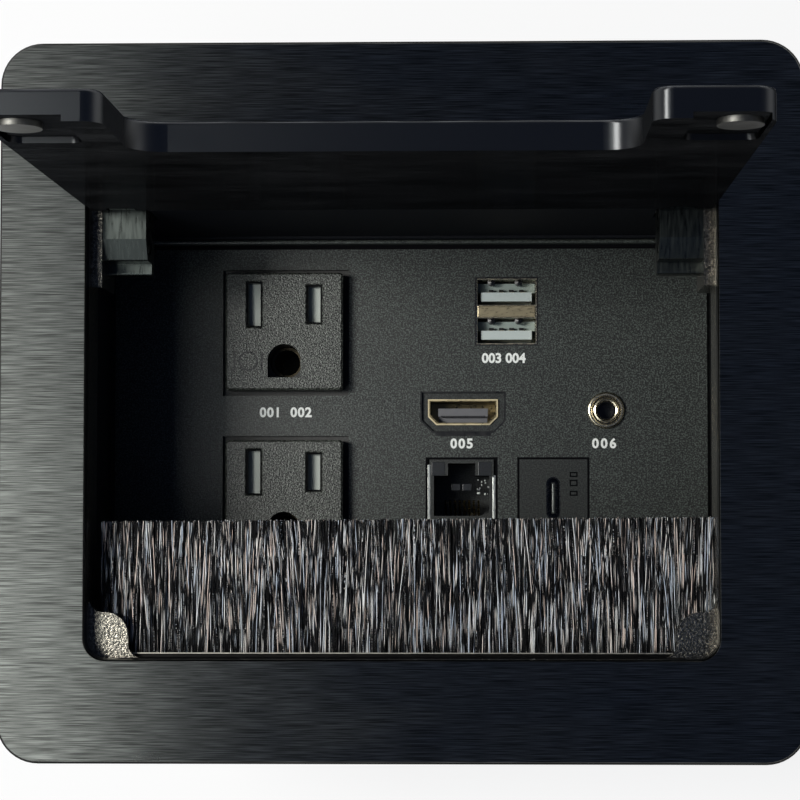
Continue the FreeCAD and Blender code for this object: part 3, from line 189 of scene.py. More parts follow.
# %% [markdown]
# Most finishes start from one shader whose constant values sit on its own sockets. The floor is
# the first of them. It is a stage, not part of the box, and lies under the box's bottom cover.
# For rays that come straight from the camera, or by way of metal, it glows a little, so it reads
# as white paper but still keeps the soft shadow.

# %% Floor
glow_share = 0.85
floor_gap = 0.3 * mm
floor_half = 2.5


def plain_finish(name, color, rough, metal=0.0, **sockets):
    """A material whose constant values sit on the shader's own sockets."""
    made = bpy.data.materials.new(name)
    made.use_nodes = True
    shader = made.node_tree.nodes["Principled BSDF"]
    shader.inputs["Base Color"].default_value = (*color, 1)
    shader.inputs["Roughness"].default_value = rough
    shader.inputs["Metallic"].default_value = metal
    for socket, value in sockets.items():
        shader.inputs[socket.replace("_", " ")].default_value = value
    return made


def floor_material():
    """Pale paper that keeps a shadow."""
    made = plain_finish("floor_paper", (0.86, 0.86, 0.86), 0.9)
    tree = made.node_tree
    glow = tree.nodes.new("ShaderNodeEmission")
    rays = tree.nodes.new("ShaderNodeLightPath")
    seen = rays.outputs["Is Camera Ray"]
    for kind in ("Is Glossy Ray", "Is Transmission Ray"):
        seen = calculate(tree, "MAXIMUM", seen, rays.outputs[kind])
    both = tree.nodes.new("ShaderNodeMixShader")
    tree.links.new(calculate(tree, "MULTIPLY", seen, glow_share), both.inputs[0])
    tree.links.new(tree.nodes["Principled BSDF"].outputs[0], both.inputs[1])
    tree.links.new(glow.outputs[0], both.inputs[2])
    tree.links.new(both.outputs[0], tree.nodes["Material Output"].inputs["Surface"])
    return made


floor_mesh = bpy.data.meshes.new("floor")
sheet = bmesh.new()
bmesh.ops.create_grid(sheet, x_segments=1, y_segments=1, size=floor_half,
                      matrix=Matrix.Translation((0, 0, cad_low.z - floor_gap)))
sheet.to_mesh(floor_mesh)
sheet.free()
floor = bpy.data.objects.new("floor", floor_mesh)
floor_mesh.materials.append(floor_material())
scene.collection.objects.link(floor)
print("floor at", round((cad_low.z - floor_gap) / mm, 1), "mm")

# %% [markdown]
# A finish is that shader, a pattern that is stretched to the size of the real grain, and a bump.
# These small helpers hold what repeats. A pattern reads Object coordinates, which stay with the
# piece when the lid turns, and its scale is written as the size of one grain.

# %% Helpers for finishes
def shader_of(made):
    """The one shader of a finish."""
    return made.node_tree.nodes["Principled BSDF"]


def noise(tree, place, detail):
    """Soft noise whose lumps are one unit wide."""
    pattern = tree.nodes.new("ShaderNodeTexNoise")
    pattern.inputs["Scale"].default_value = 1.0
    pattern.inputs["Detail"].default_value = detail
    tree.links.new(place, pattern.inputs["Vector"])
    return pattern.outputs[0]


def grain(made, size, detail=2.0):
    """A pattern whose grains measure size along X, Y and Z."""
    tree = made.node_tree
    place = tree.nodes.new("ShaderNodeTexCoord")
    stretch = tree.nodes.new("ShaderNodeMapping")
    stretch.inputs["Scale"].default_value = [1 / s for s in size]
    tree.links.new(place.outputs["Object"], stretch.inputs["Vector"])
    return noise(tree, stretch.outputs[0], detail)


def shade(color, factor):
    """A colour made darker or lighter."""
    return tuple(factor * c for c in color)


def color_by(made, value, stops):
    """Let a pattern choose the base colour."""
    tree = made.node_tree
    tree.links.new(ramp(tree, value, stops), shader_of(made).inputs["Base Color"])


def vary_roughness(made, value, low, high):
    """Let a pattern move the roughness between two numbers."""
    tree = made.node_tree
    node = tree.nodes.new("ShaderNodeMapRange")
    node.inputs["From Min"].default_value = 0.3
    node.inputs["From Max"].default_value = 0.7
    node.inputs["To Min"].default_value = low
    node.inputs["To Max"].default_value = high
    tree.links.new(value, node.inputs[0])
    tree.links.new(node.outputs[0], shader_of(made).inputs["Roughness"])


def bump(made, value, height):
    """Raise the surface by a pattern."""
    tree = made.node_tree
    node = tree.nodes.new("ShaderNodeBump")
    node.inputs["Distance"].default_value = height
    node.inputs["Strength"].default_value = 1.0
    tree.links.new(value, node.inputs["Height"])
    tree.links.new(node.outputs[0], shader_of(made).inputs["Normal"])


def dress(made, *names):
    """Put a finish on solids of the box."""
    for name in names:
        slots = nodes[name].material_slots
        if not slots:
            nodes[name].data.materials.append(made)
        for slot in slots:
            slot.material = made
    print(made.name, "on", ", ".join(names))


# %% [markdown]
# Brushed black metal: the grain runs along the long side of the bezel and of the lid. Fine
# scratches along X spread a reflection across themselves, so the shader is stretched the other
# way. The tangent leans between Y and Z, which suits the lying bezel and the standing lid alike.
# Both plates were milled after they were brushed, so their edges are plain; the edges are also
# painted darker, painted shade that dims the light they catch. On the bezel an edge is what lies
# below the face, on the lid what doesn't face to the front or back.

# %% Brushed metal
scratch_size = (8 * mm, 0.12 * mm, 0.12 * mm)
cloud_size = (30 * mm, 9 * mm, 9 * mm)
bezel_color = (0.098, 0.1, 0.094)
bezel_edge_depth = 0.08 * mm
bezel_edge_shade_share = 0.12
lid_color = (0.105, 0.108, 0.112)
lid_grazing = (0.09, 0.1, 0.12)
lid_edge_shade_share = 0.72
lid_edge_rough = 0.36
lid_face_limit = 0.5


def brushed_metal(name, color, rough, line_height, grazing=(1, 1, 1)):
    """Black anodised metal with long fine scratches along X."""
    made = plain_finish(name, color, rough, metal=1.0, Anisotropic=0.88, Specular_Tint=(*grazing, 1))
    tree = made.node_tree
    across = tree.nodes.new("ShaderNodeCombineXYZ")
    across.inputs[1].default_value = 1.0
    across.inputs[2].default_value = 1.0
    tree.links.new(across.outputs[0], shader_of(made).inputs["Tangent"])
    scratches = grain(made, scratch_size, detail=3)
    color_by(made, scratches, [(0.4, shade(color, 0.5)), (0.5, color), (0.6, shade(color, 1.7))])
    vary_roughness(made, grain(made, cloud_size), rough - 0.03, rough + 0.04)
    bump(made, scratches, line_height)
    return made


def replace_where(made, share, socket_name, kind, value):
    """Give one socket of the shader another value where the share is 1."""
    socket = shader_of(made).inputs[socket_name]
    mixed = mix(made.node_tree, kind, share, socket.links[0].from_socket, value)
    made.node_tree.links.new(mixed, socket)


bezel_metal = brushed_metal("brushed_bezel", bezel_color, 0.3, 0.005 * mm)
edge_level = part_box("bezel_plate")[1].z - bezel_edge_depth
height = axis_of(bezel_metal.node_tree, "Object", "Z")
edge_shade_mask = calculate(bezel_metal.node_tree, "LESS_THAN", height, edge_level)
# Painted shade: everything below the bezel's face gets a darker base colour.
bezel_edge_shade_color = (*shade(bezel_color, bezel_edge_shade_share), 1)
replace_where(bezel_metal, edge_shade_mask, "Base Color", "RGBA", bezel_edge_shade_color)
dress(bezel_metal, "bezel_plate")

lid_metal = brushed_metal("brushed_lid", lid_color, 0.21, 0.002 * mm, lid_grazing)
facing = calculate(lid_metal.node_tree, "ABSOLUTE", axis_of(lid_metal.node_tree, "Normal", "Y"))
edge_shade_mask = calculate(lid_metal.node_tree, "LESS_THAN", facing, lid_face_limit)
# Painted shade: the lid's sides, end faces and fillets get a darker base colour and their own
# roughness.
lid_edge_shade_color = (*shade(lid_color, lid_edge_shade_share), 1)
replace_where(lid_metal, edge_shade_mask, "Base Color", "RGBA", lid_edge_shade_color)
replace_where(lid_metal, edge_shade_mask, "Roughness", "FLOAT", lid_edge_rough)
dress(lid_metal, "lid_plate")

# %% [markdown]
# The casting under the bezel was poured in sand and painted black. Its skin is lumpy at half
# a millimetre, and each lump catches the softbox, which turns the left rest pale and leaves
# the right one dark with sparks.

# %% Rough casting
casting = plain_finish("rough_casting", (0.13, 0.122, 0.104), 0.25, metal=1.0)
lumps = grain(casting, (0.45 * mm,) * 3, detail=4)
color_by(casting, lumps, [(0.36, (0.07, 0.066, 0.057)), (0.5, (0.15, 0.142, 0.123)),
                          (0.64, (0.34, 0.31, 0.26))])
bump(casting, lumps, 0.12 * mm)
dress(casting, "collar_casting")

# %% [markdown]
# Powder coat and spark-eroded plastic look alike from afar: both are a field of tiny bumps.
# What tells them apart is how far the bumps stand out and how much paler their tops are painted,
# a painted sparkle that stands for the glints on them.

# %% Textured coats
def sandy(name, color, grain_size, height, rough=0.55, contrast=0.3, sheen=0.5, spark=1.0):
    """A surface of tiny round bumps with a little change of colour, and tops painted paler by spark:
    painted sparkle.
    """
    made = plain_finish(name, color, rough, Specular_IOR_Level=sheen)
    sand = grain(made, (grain_size,) * 3, detail=2)
    # Painted sparkle: the pale end of the colour sits on the tops of the bumps, scaled by spark.
    color_by(made, sand, [(0.38, shade(color, 1 - contrast)), (0.5, color),
                          (0.64, shade(color, 1 + spark * contrast))])
    bump(made, sand, height)
    return made


dress(sandy("panel_coat", (0.017, 0.0202, 0.0184), 0.31 * mm, 0.05 * mm, rough=0.42,
            contrast=0.92, spark=3.8),
      "socket_panel")
# Painted shade: the baffle's coat is darker than the panel's coat.
dress(sandy("baffle_shade_coat", (0.008, 0.009, 0.012), 0.3 * mm, 0.01 * mm, rough=0.65, sheen=0.12),
      "rear_baffle")
dress(sandy("shell_coat", (0.02, 0.0205, 0.0215), 0.4 * mm, 0.03 * mm, rough=0.5, sheen=0.2),
      "housing_shell", "bottom_cover", "panel_rail_right", "panel_rail_left")
dress(sandy("outlet_plastic", (0.0272, 0.030, 0.0264), 0.32 * mm, 0.12 * mm, rough=0.36,
            contrast=0.92, spark=4.5),
      "receptacle_face_upper", "receptacle_face_lower")
dress(sandy("back_plastic", (0.03, 0.03, 0.03), 0.5 * mm, 0.02 * mm),
      "receptacle_back_upper", "receptacle_back_lower", "charger_case")
dress(sandy("port_plastic", (0.014, 0.0165, 0.0155), 0.3 * mm, 0.02 * mm, rough=0.42,
            contrast=0.8, spark=1.5),
      "video_port_body", "audio_jack_body", "network_jack_body", "oval_port_body",
      "oval_port_tongue")
dress(sandy("foam", (0.02, 0.02, 0.02), 0.5 * mm, 0.15 * mm, rough=0.95), "desk_gasket")
dress(sandy("gland_nylon", (0.02, 0.02, 0.021), 0.4 * mm, 0.02 * mm, rough=0.5),
      "cord_gland", "gland_cap", "gland_nut")
dress(sandy("terminal_nylon", (0.62, 0.62, 0.58), 0.5 * mm, 0.01 * mm, rough=0.45, contrast=0.05),
      "terminal_block")
dress(sandy("wire_cover", (0.03, 0.03, 0.03), 0.8 * mm, 0.01 * mm, rough=0.4), "mains_wires")

# %% [markdown]
# Small metal parts share one recipe as well: a plated colour, faint streaks from drawing or
# rolling, and a roughness that drifts, so that no two parts mirror the light alike.

# %% Plated and painted metal
def plated(name, color, rough, streak=(2 * mm, 0.3 * mm, 0.3 * mm), metal=1.0, height=0.003 * mm):
    """Smooth metal with faint streaks."""
    made = plain_finish(name, color, rough, metal=metal)
    lines = grain(made, streak, detail=3)
    vary_roughness(made, lines, rough - 0.06, rough + 0.1)
    color_by(made, lines, [(0.3, shade(color, 0.85)), (0.6, color)])
    bump(made, lines, height)
    return made


dress(plated("magnet_plating", (0.14, 0.139, 0.13), 0.45), "lid_magnets", "rest_magnets")
dress(plated("black_zinc", (0.05, 0.05, 0.052), 0.32),
      "collar_screws", "shell_screws", "cover_screws", "panel_screws", "brush_screws",
      "hinge_block_screws", "rivets")
# Painted shade: the contacts' brass is darker for their place deep in the ground hole.
dress(plated("brass_painted_dark", (0.05, 0.042, 0.028), 0.35),
      "receptacle_contacts_upper", "receptacle_contacts_lower")
warm_nickel = plated("warm_nickel", (0.6, 0.54, 0.4), 0.24, streak=(1.2 * mm, 0.2 * mm, 0.2 * mm))
dress(warm_nickel, "charge_port_shell", "audio_jack_nut", "audio_jack_barrel")
dress(plated("dark_nickel", (0.07, 0.07, 0.072), 0.25), "oval_port_shell")
dress(plated("contact_gold", (0.8, 0.62, 0.3), 0.25),
      "charge_port_contacts", "network_jack_contacts")
dress(plated("shell_gold", (0.3, 0.24, 0.13), 0.3, streak=(1 * mm, 1 * mm, 1 * mm)),
      "video_port_shell")
dress(plated("tin", (0.62, 0.63, 0.62), 0.3), "network_jack_shield")
dress(plated("holder_metal", (0.011, 0.011, 0.0108), 0.4), "brush_holder")
dress(plated("pin_steel", (0.5, 0.5, 0.5), 0.25), "hinge_pin_right", "hinge_pin_left")
dress(plated("zinc", (0.4, 0.41, 0.42), 0.35, streak=(0.4 * mm, 3 * mm, 3 * mm)),
      "clamp_bracket_right", "clamp_bracket_left", "clamp_nuts")
dress(plated("knob_black", (0.05, 0.05, 0.05), 0.35), "clamp_knob_right", "clamp_knob_left")
dress(plated("block_black", (0.06, 0.068, 0.064), 0.3, streak=(0.5 * mm, 4 * mm, 4 * mm),
             height=0.006 * mm),
      "hinge_block_right", "hinge_block_left")

# %% [markdown]
# Smooth plastic is the plainest finish: one colour, with a haze of wear that moves its roughness
# and barely lifts its skin. Two blacks serve the later pieces, a glossy one for mouldings and for
# some painted shade, and a matt one for gaps, painted shade where any shine would give away that
# the gap is only a strip.

# %% Smooth plastics and the circuit board
def moulded(name, color, rough=0.35):
    """Smooth moulded plastic with a faint haze of wear."""
    made = plain_finish(name, color, rough)
    haze = grain(made, (1.5 * mm,) * 3, detail=3)
    vary_roughness(made, haze, rough - 0.05, rough + 0.12)
    bump(made, haze, 0.004 * mm)
    return made


tongue_grey = moulded("tongue_grey", (0.13, 0.13, 0.14))
gloss_black = moulded("gloss_black", (0.004, 0.004, 0.005), 0.3)
matt_black = plain_finish("matt_black", (0.004, 0.004, 0.005), 0.8, Specular_IOR_Level=0.05)
dress(moulded("shutter_plastic", (0.4, 0.43, 0.4)), "shutter_upper", "shutter_lower")
dress(moulded("tongue_white", (0.5, 0.56, 0.55)), "charge_port_tongues")
dress(tongue_grey, "video_port_tongue")
dress(moulded("solder_mask", (0.02, 0.16, 0.06), 0.3), "charger_board")

# %% [markdown]
# The brush is some three thousand nylon filaments that leave their holder side by side and fan
# a little. A flat sheet with a stripe pattern would do from above but not from the side, so
# every filament is a real thin tube: a curve of five points, given a round bevel, then made a
# mesh. They lean in tufts, and each has its own height in the pack, so the light breaks up.
# The row of tips isn't quite square to the brush: it draws back a little towards the left.

# %% Brush
brush_low, brush_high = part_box("brush_bristles")
filament_radius = 0.07 * mm
filament_pitch = 0.24 * mm
filament_layers = 6
filament_runs = 4
tuft_width = 2.1 * mm
tuft_sway = 0.8 * mm
filament_sway = 1.0 * mm
sway_power = 1.4
waver_across = 0.1
waver_upward = 0.2
brush_left_gap = 1.2 * mm
brush_right_reach = 0.7 * mm
tip_slope = 0.8 * mm
tip_scatter = 0.5 * mm


def clamped(value, low, high):
    """A value kept between two others."""
    return min(max(value, low), high)


def brush_curve():
    """Every filament of the brush as a curve of five points."""
    pick = random.Random(7)
    curve = bpy.data.curves.new("brush", "CURVE")
    curve.dimensions = "3D"
    curve.bevel_depth = filament_radius
    curve.bevel_resolution = 1
    curve.use_fill_caps = True
    low = brush_low + Vector((filament_radius + brush_left_gap, 0, filament_radius))
    high = brush_high - Vector((filament_radius - brush_right_reach, 0, filament_radius))
    width = high.x - low.x
    tufts = [pick.gauss(0, tuft_sway) for _ in range(int(width / tuft_width) + 2)]
    for layer in range(filament_layers):
        for index in range(int(width / filament_pitch)):
            x = low.x + (index + pick.uniform(0.1, 0.9)) * filament_pitch
            sway = tufts[int((x - low.x) / tuft_width)] + pick.gauss(0, filament_sway)
            level = low.z + (high.z - low.z) * (layer + pick.uniform(0, 1)) / filament_layers
            slope = tip_slope * (high.x - x) / width
            tip = brush_high.y - slope - pick.uniform(0, tip_scatter)
            spline = curve.splines.new("POLY")
            spline.points.add(filament_runs)
            for step, point in enumerate(spline.points):
                along = step / filament_runs
                swept = x + sway * along ** sway_power
                swept += pick.uniform(-waver_across, waver_across) * mm
                z = level + pick.uniform(-waver_upward, waver_upward) * mm * min(step, 1)
                point.co = (clamped(swept, low.x, high.x),
                            brush_low.y + (tip - brush_low.y) * along,
                            clamped(z, low.z, high.z), 1)
    return curve


def mesh_of_curve(name, curve):
    """A plain mesh object from a curve or a text."""
    holder = bpy.data.objects.new(name, curve)
    scene.collection.objects.link(holder)
    graph = bpy.context.evaluated_depsgraph_get()
    mesh = bpy.data.meshes.new_from_object(holder.evaluated_get(graph))
    bpy.data.objects.remove(holder)
    made = bpy.data.objects.new(name, mesh)
    scene.collection.objects.link(made)
    return made


brush_path = brush_curve()
filament_count = len(brush_path.splines)
brush = mesh_of_curve("brush_filaments", brush_path)
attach(brush, "frame")
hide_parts("brush_bristles")
print("brush:", filament_count, "filaments,", len(brush.data.polygons), "faces")

# %% [markdown]
# Nylon that has been combed shows short bright glints that stop and start along a filament and
# end sharply at its sides. Here the glints are painted highlights in the base colour of black
# nylon. Each filament carries a number of its own in an attribute, and the painted glint pattern
# reads that number instead of the place across the brush. A second, wider pattern gathers the
# glints in tufts, and a third one tints them from cool to warm.

# %% Filament finish
glint_length = 12 * mm
glint_tuft = (1.2 * mm, 9 * mm, 4 * mm)
tuft_weight = 0.1
number_spread = 997.0
tint_shift = 41.5
between_glints = (0.004, 0.004, 0.005, 1)
cool_glint = (0.55, 0.62, 0.72)
pale_glint = (0.92, 0.92, 0.89)
warm_glint = (0.8, 0.66, 0.58)


def number_filaments(made_brush, filaments):
    """Write a number from 0 to 1 on all points of one filament."""
    share = len(made_brush.data.vertices) // filaments
    pick = random.Random(11)
    numbers = [number for _ in range(filaments) for number in [pick.random()] * share]
    attribute = made_brush.data.attributes.new("filament", "FLOAT", "POINT")
    attribute.data.foreach_set("value", numbers)


def filament_pattern(tree, length, shift):
    """A pattern that runs along each filament and differs from one filament to the next."""
    number = tree.nodes.new("ShaderNodeAttribute")
    number.attribute_name = "filament"
    place = tree.nodes.new("ShaderNodeCombineXYZ")
    across = calculate(tree, "MULTIPLY_ADD", number.outputs["Fac"], number_spread, shift)
    along = calculate(tree, "DIVIDE", axis_of(tree, "Object", "Y"), length)
    tree.links.new(across, place.inputs[0])
    tree.links.new(along, place.inputs[1])
    return noise(tree, place.outputs[0], 1.0)


number_filaments(brush, filament_count)
nylon = plain_finish("nylon_filament", (0.01, 0.01, 0.012), 0.5, Specular_IOR_Level=0.1)
nylon_tree = nylon.node_tree
glints = calculate(nylon_tree, "MULTIPLY_ADD", grain(nylon, glint_tuft, detail=0), tuft_weight,
                   filament_pattern(nylon_tree, glint_length, 0.0))
glint_share = ramp(nylon_tree, glints, [(0.58, (0, 0, 0)), (0.645, (1, 1, 1))])
glint_tints = ramp(nylon_tree, filament_pattern(nylon_tree, 5 * glint_length, tint_shift),
                   [(0.38, cool_glint), (0.5, pale_glint), (0.62, warm_glint)])
# Painted highlights: the glints are pale base colour over near-black nylon.
nylon_painted_glints = mix(nylon_tree, "RGBA", glint_share, between_glints, glint_tints)
nylon_tree.links.new(nylon_painted_glints, shader_of(nylon).inputs["Base Color"])
brush.data.materials.clear()
brush.data.materials.append(nylon)
print("glints:", round(glint_length / mm), "mm long")

# %% [markdown]
# The ports are small machines of their own: rims, tongues and rows of contacts that the plain
# solids leave out. These helpers start from a cube, a grid or a profile and let the mesh
# operators bevel, inset or spin it. They take millimetres, as the real parts are drawn.

# %% Helpers for small parts
panel_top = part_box("socket_panel")[1].z / mm
proud = 0.02
sunk = 0.05


def middle(node):
    """The middle of a node's box, with its top as the height, in millimetres."""
    low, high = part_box(node)
    return (low.x + high.x) / 2 / mm, (low.y + high.y) / 2 / mm, high.z / mm


def join(shape, one):
    """Add one closed form to a piece, facing outwards."""
    bmesh.ops.recalc_face_normals(one, faces=one.faces)
    passing = bpy.data.meshes.new("passing")
    one.to_mesh(passing)
    one.free()
    shape.from_mesh(passing)
    bpy.data.meshes.remove(passing)


def add_block(shape, centre, size, bottom, top, edge=0.0):
    """A block round a centre, between two heights, its edges rounded."""
    one = bmesh.new()
    place = Vector((*centre, (bottom + top) / 2)) * mm
    scale = Vector((*size, top - bottom)) * mm
    bmesh.ops.create_cube(one, size=1, matrix=Matrix.LocRotScale(place, None, scale))
    if edge:
        bmesh.ops.bevel(one, geom=one.edges[:], offset=edge * mm, affect="EDGES", segments=2,
                        profile=0.5, material=-1)
    join(shape, one)


def add_frame(shape, centre, size, wall, level, slope=0.0, corner=0.0, thick=0.05, lower=False):
    """A thin flat frame, or one that slopes down to its inner edge."""
    one = bmesh.new()
    matrix = Matrix.Translation((centre[0] * mm, centre[1] * mm, level * mm))
    matrix = matrix @ Matrix.Diagonal((size[0] * mm, size[1] * mm, 1, 1))
    bmesh.ops.create_grid(one, x_segments=1, y_segments=1, size=0.5, matrix=matrix)
    if corner:
        chosen = [v for v in one.verts if not lower or v.co.y < centre[1] * mm]
        bmesh.ops.bevel(one, geom=chosen, offset=corner * mm, affect="VERTICES", segments=1,
                        profile=0.5, material=-1)
    ring = bmesh.ops.inset_region(one, faces=one.faces[:], thickness=wall * mm,
                                  depth=-slope * mm, use_even_offset=True,
                                  use_boundary=True)["faces"]
    bmesh.ops.delete(one, geom=[f for f in one.faces if f not in ring], context="FACES")
    bmesh.ops.solidify(one, geom=one.faces[:], thickness=thick * mm)
    join(shape, one)


def add_turned(shape, centre, profile, steps=56):
    """A closed profile of radius and height, turned about an upright axis."""
    one = bmesh.new()
    x, y = centre[0] * mm, centre[1] * mm
    row = [one.verts.new((x + radius * mm, y, z * mm)) for radius, z in profile]
    edges = [one.edges.new(pair) for pair in zip(row, row[1:] + row[:1])]
    bmesh.ops.spin(one, geom=row + edges, cent=(x, y, 0), axis=(0, 0, 1), angle=2 * math.pi,
                   steps=steps, use_merge=True)
    bmesh.ops.remove_doubles(one, verts=one.verts, dist=0.001 * mm)
    join(shape, one)


def piece(shape, name, made, slot, *replaced):
    """Turn a finished shape into a piece that rides on the frame."""
    mesh = bpy.data.meshes.new(name)
    shape.to_mesh(mesh)
    shape.free()
    mesh.materials.append(made)
    made_piece = bpy.data.objects.new(name, mesh)
    scene.collection.objects.link(made_piece)
    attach(made_piece, "frame")
    if replaced:
        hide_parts(*replaced)
    print(name, len(mesh.polygons), "faces")


# %% [markdown]
# The receptacles: each blade slot has a sloping gloss black mouth, painted shade that stands for
# the slot's walls in the dark, and it reads as a black frame round the pale shutter. A shallow
# plain mark, a ring between two bars, sits beside the ground hole; it is gloss black, painted
# shade that stands for the dark of an engraving.

# %% Receptacle mouths and marks
blade_offset = 6.35
blade_rise = 5.7
slot_heights = (9.0, 7.5)
mouth_width = 3.8
mouth_edge = 1.2
mouth_wall = 0.58
mouth_slope = 0.5
mark_shift = (7.6, 6.3)
ring_inner = 1.75
ring_outer = 2.1
mark_bar_size = (0.36, 4.0)
mark_bar_offset = 2.9

mouths = bmesh.new()
marks = bmesh.new()
for node in ("receptacle_face_upper", "receptacle_face_lower"):
    x, y, top = middle(node)
    for side, height in zip((-1, 1), slot_heights):
        add_frame(mouths, (x + side * blade_offset, y + blade_rise),
                  (mouth_width, height + mouth_edge), mouth_wall, top + proud, slope=mouth_slope)
    mark_x, mark_y = x - mark_shift[0], y - mark_shift[1]
    add_turned(marks, (mark_x, mark_y), [(ring_inner, top - sunk), (ring_outer, top - sunk),
                                         (ring_outer, top + proud), (ring_inner, top + proud)],
               steps=32)
    for offset in (-mark_bar_offset, mark_bar_offset):
        add_block(marks, (mark_x + offset, mark_y), mark_bar_size, top - sunk, top + proud)
# Painted shade: the black mouths and the black mark.
piece(mouths, "slot_mouth_shade", gloss_black, "outlet_plastic")
piece(marks, "receptacle_mark_shade", gloss_black, "outlet_plastic")

# %% [markdown]
# The charging pair: behind each white tongue lies a pale insulator with four dark contact ends
# and two round studs, and a bronze-coloured bar of the shell parts the two windows.

# %% Charging ports
charge_x, charge_y, charge_top = middle("charge_port_shell")
window_rows = (charge_y - 6.8, charge_y + 1.4)
window_shade_size = (13.5, 14.7)
bar_size = (12.4, 2.5)
bar_half = 0.2
insulator_size = (12.2, 2.0)
insulator_row = 3.9
insulator_thick = 0.5
insulator_top = charge_top - 3.6
contact_pitch = 2.15
contact_size = (1.0, 0.45)
contact_row = 3.275
contact_height = 1.2
stud_offsets = (-3.2, 2.6)
stud_row = 5.0
stud_profile = [(0.05, insulator_top + 1), (0.8, insulator_top + 1),
                (0.8, insulator_top + 2.4), (0.05, insulator_top + 2.6)]

insulators = bmesh.new()
contact_ends = bmesh.new()
for row in window_rows:
    add_block(insulators, (charge_x, row + insulator_row), insulator_size,
              insulator_top - insulator_thick, insulator_top)
    for index in range(4):
        x = charge_x + (index - 1.5) * contact_pitch
        add_block(contact_ends, (x, row + contact_row), contact_size, insulator_top,
                  insulator_top + contact_height)
    for offset in stud_offsets:
        add_turned(contact_ends, (charge_x + offset, row + stud_row), stud_profile, steps=16)
piece(insulators, "charge_insulators", moulded("insulator_grey", (0.26, 0.31, 0.29)), "pale_plastic")
piece(contact_ends, "charge_contact_ends", gloss_black, "contact_gold")

bar = bmesh.new()
add_block(bar, (charge_x, charge_y), bar_size, charge_top - bar_half, charge_top + bar_half,
          edge=0.22)
bronze = plated("bronze_bar", (0.4, 0.34, 0.22), 0.3, streak=(1.2 * mm, 0.4 * mm, 1 * mm), metal=0.6)
piece(bar, "charge_window_bar", bronze, "nickel")
# Painted shade: a gloss black line round the charging module stands for the dark gap round it.
window_shade_lines = bmesh.new()
add_frame(window_shade_lines, (charge_x, charge_y), window_shade_size, 0.3, panel_top + proud)
piece(window_shade_lines, "charge_window_shade", gloss_black, "powder_panel")

# %% [markdown]
# The video port has a thin folded rim that catches the light, a black moulding round it, and a
# tongue whose lower side shows a comb of nineteen contacts.

# %% Video port
video_x, video_y, video_top = middle("video_port_shell")
rim_size = (14.9, 5.5)
rim_corner = 1.75
rim_sheet = 0.3
moulding_size = (18.2, 8.8)
moulding_corner = 2.5
moulding_wall = 0.32
sill_size = (11.8, 0.8)
sill_row = -4.7
comb_count = 19
comb_pitch = 0.5
contact_face = (0.26, 0.35)

rim = bmesh.new()
add_frame(rim, (video_x, video_y), rim_size, rim_sheet, video_top + 0.12, corner=rim_corner,
          thick=rim_sheet, lower=True)
gold_rim = plated("gold_rim", (0.78, 0.66, 0.42), 0.28, streak=(3 * mm, 3 * mm, 3 * mm), metal=0.35)
piece(rim, "video_rim", gold_rim, "gold_rim")

moulding = bmesh.new()
add_frame(moulding, (video_x, video_y), moulding_size, moulding_wall, panel_top + proud,
          corner=moulding_corner, lower=True)
add_block(moulding, (video_x, video_y + sill_row), sill_size, panel_top - sunk, panel_top + 0.03)
piece(moulding, "video_outline", gloss_black, "port_plastic")

insulator = bmesh.new()
add_block(insulator, (video_x, video_y - 1.5), (10.4, 1.2), video_top - 3.4, video_top - 3.0)
piece(insulator, "video_insulator", tongue_grey, "tongue_grey")
comb = bmesh.new()
for index in range(comb_count):
    x = video_x + (index - comb_count // 2) * comb_pitch
    add_block(comb, (x, video_y - 0.875), contact_face, video_top - 2.6, video_top - 1.3)
piece(comb, "video_comb", gloss_black, "contact_gold")

# %% [markdown]
# The audio jack is turned metal. Each profile is drawn as radius and height and spun round the
# axis: a bevelled nut, a dark groove, the rounded lip of the barrel and the bore.

# %% Audio jack
audio_x, audio_y, nut_top = middle("audio_jack_nut")
nut_low = panel_top
nut_profile = [(2.95, nut_low), (3.9, nut_low), (3.9, nut_top - 0.35), (3.75, nut_top - 0.1),
               (3.5, nut_top), (3.2, nut_top), (2.95, nut_top - 0.25)]
barrel_profile = [(1.85, nut_low - 3), (2.75, nut_low - 3), (2.75, nut_top - 0.25),
                  (2.6, nut_top - 0.05), (2.35, nut_top + 0.03), (2.05, nut_top - 0.08),
                  (1.85, nut_top - 0.35)]
bore_profile = [(0.01, nut_low - 4), (1.84, nut_low - 4), (1.84, nut_top - 0.45),
                (1.75, nut_top - 0.45), (1.7, nut_low - 3.5), (0.01, nut_low - 3.5)]
groove_profile = [(2.76, nut_low), (2.94, nut_low), (2.94, nut_top - 0.5), (2.76, nut_top - 0.5)]

rings = bmesh.new()
for profile in (nut_profile, barrel_profile):
    add_turned(rings, (audio_x, audio_y), profile)
piece(rings, "audio_rings", warm_nickel, "nickel", "audio_jack_nut", "audio_jack_barrel")
bore = bmesh.new()
for profile in (bore_profile, groove_profile):
    add_turned(bore, (audio_x, audio_y), profile)
piece(bore, "audio_bore", gloss_black, "port_plastic")

# %% [markdown]
# The network jack: folded steel flanks with a step, two moulded blocks beside the latch room,
# a dark carrier deeper down, and on its right a scatter of bright specks, as bent steel shows.

# %% Network jack
network_x, network_y, network_top = middle("network_jack_body")
rear_edge = network_y + 8.2
front_edge = network_y - 8.0
flank_starts = (1.0, 3.6)
flank_offset = 6.925
flank_width = 0.75
block_offset = 4.95
block_size = (2.9, 3.0)
carrier_pitch = 2.4
carrier_size = (2.0, 1.6)
speck_count = 16

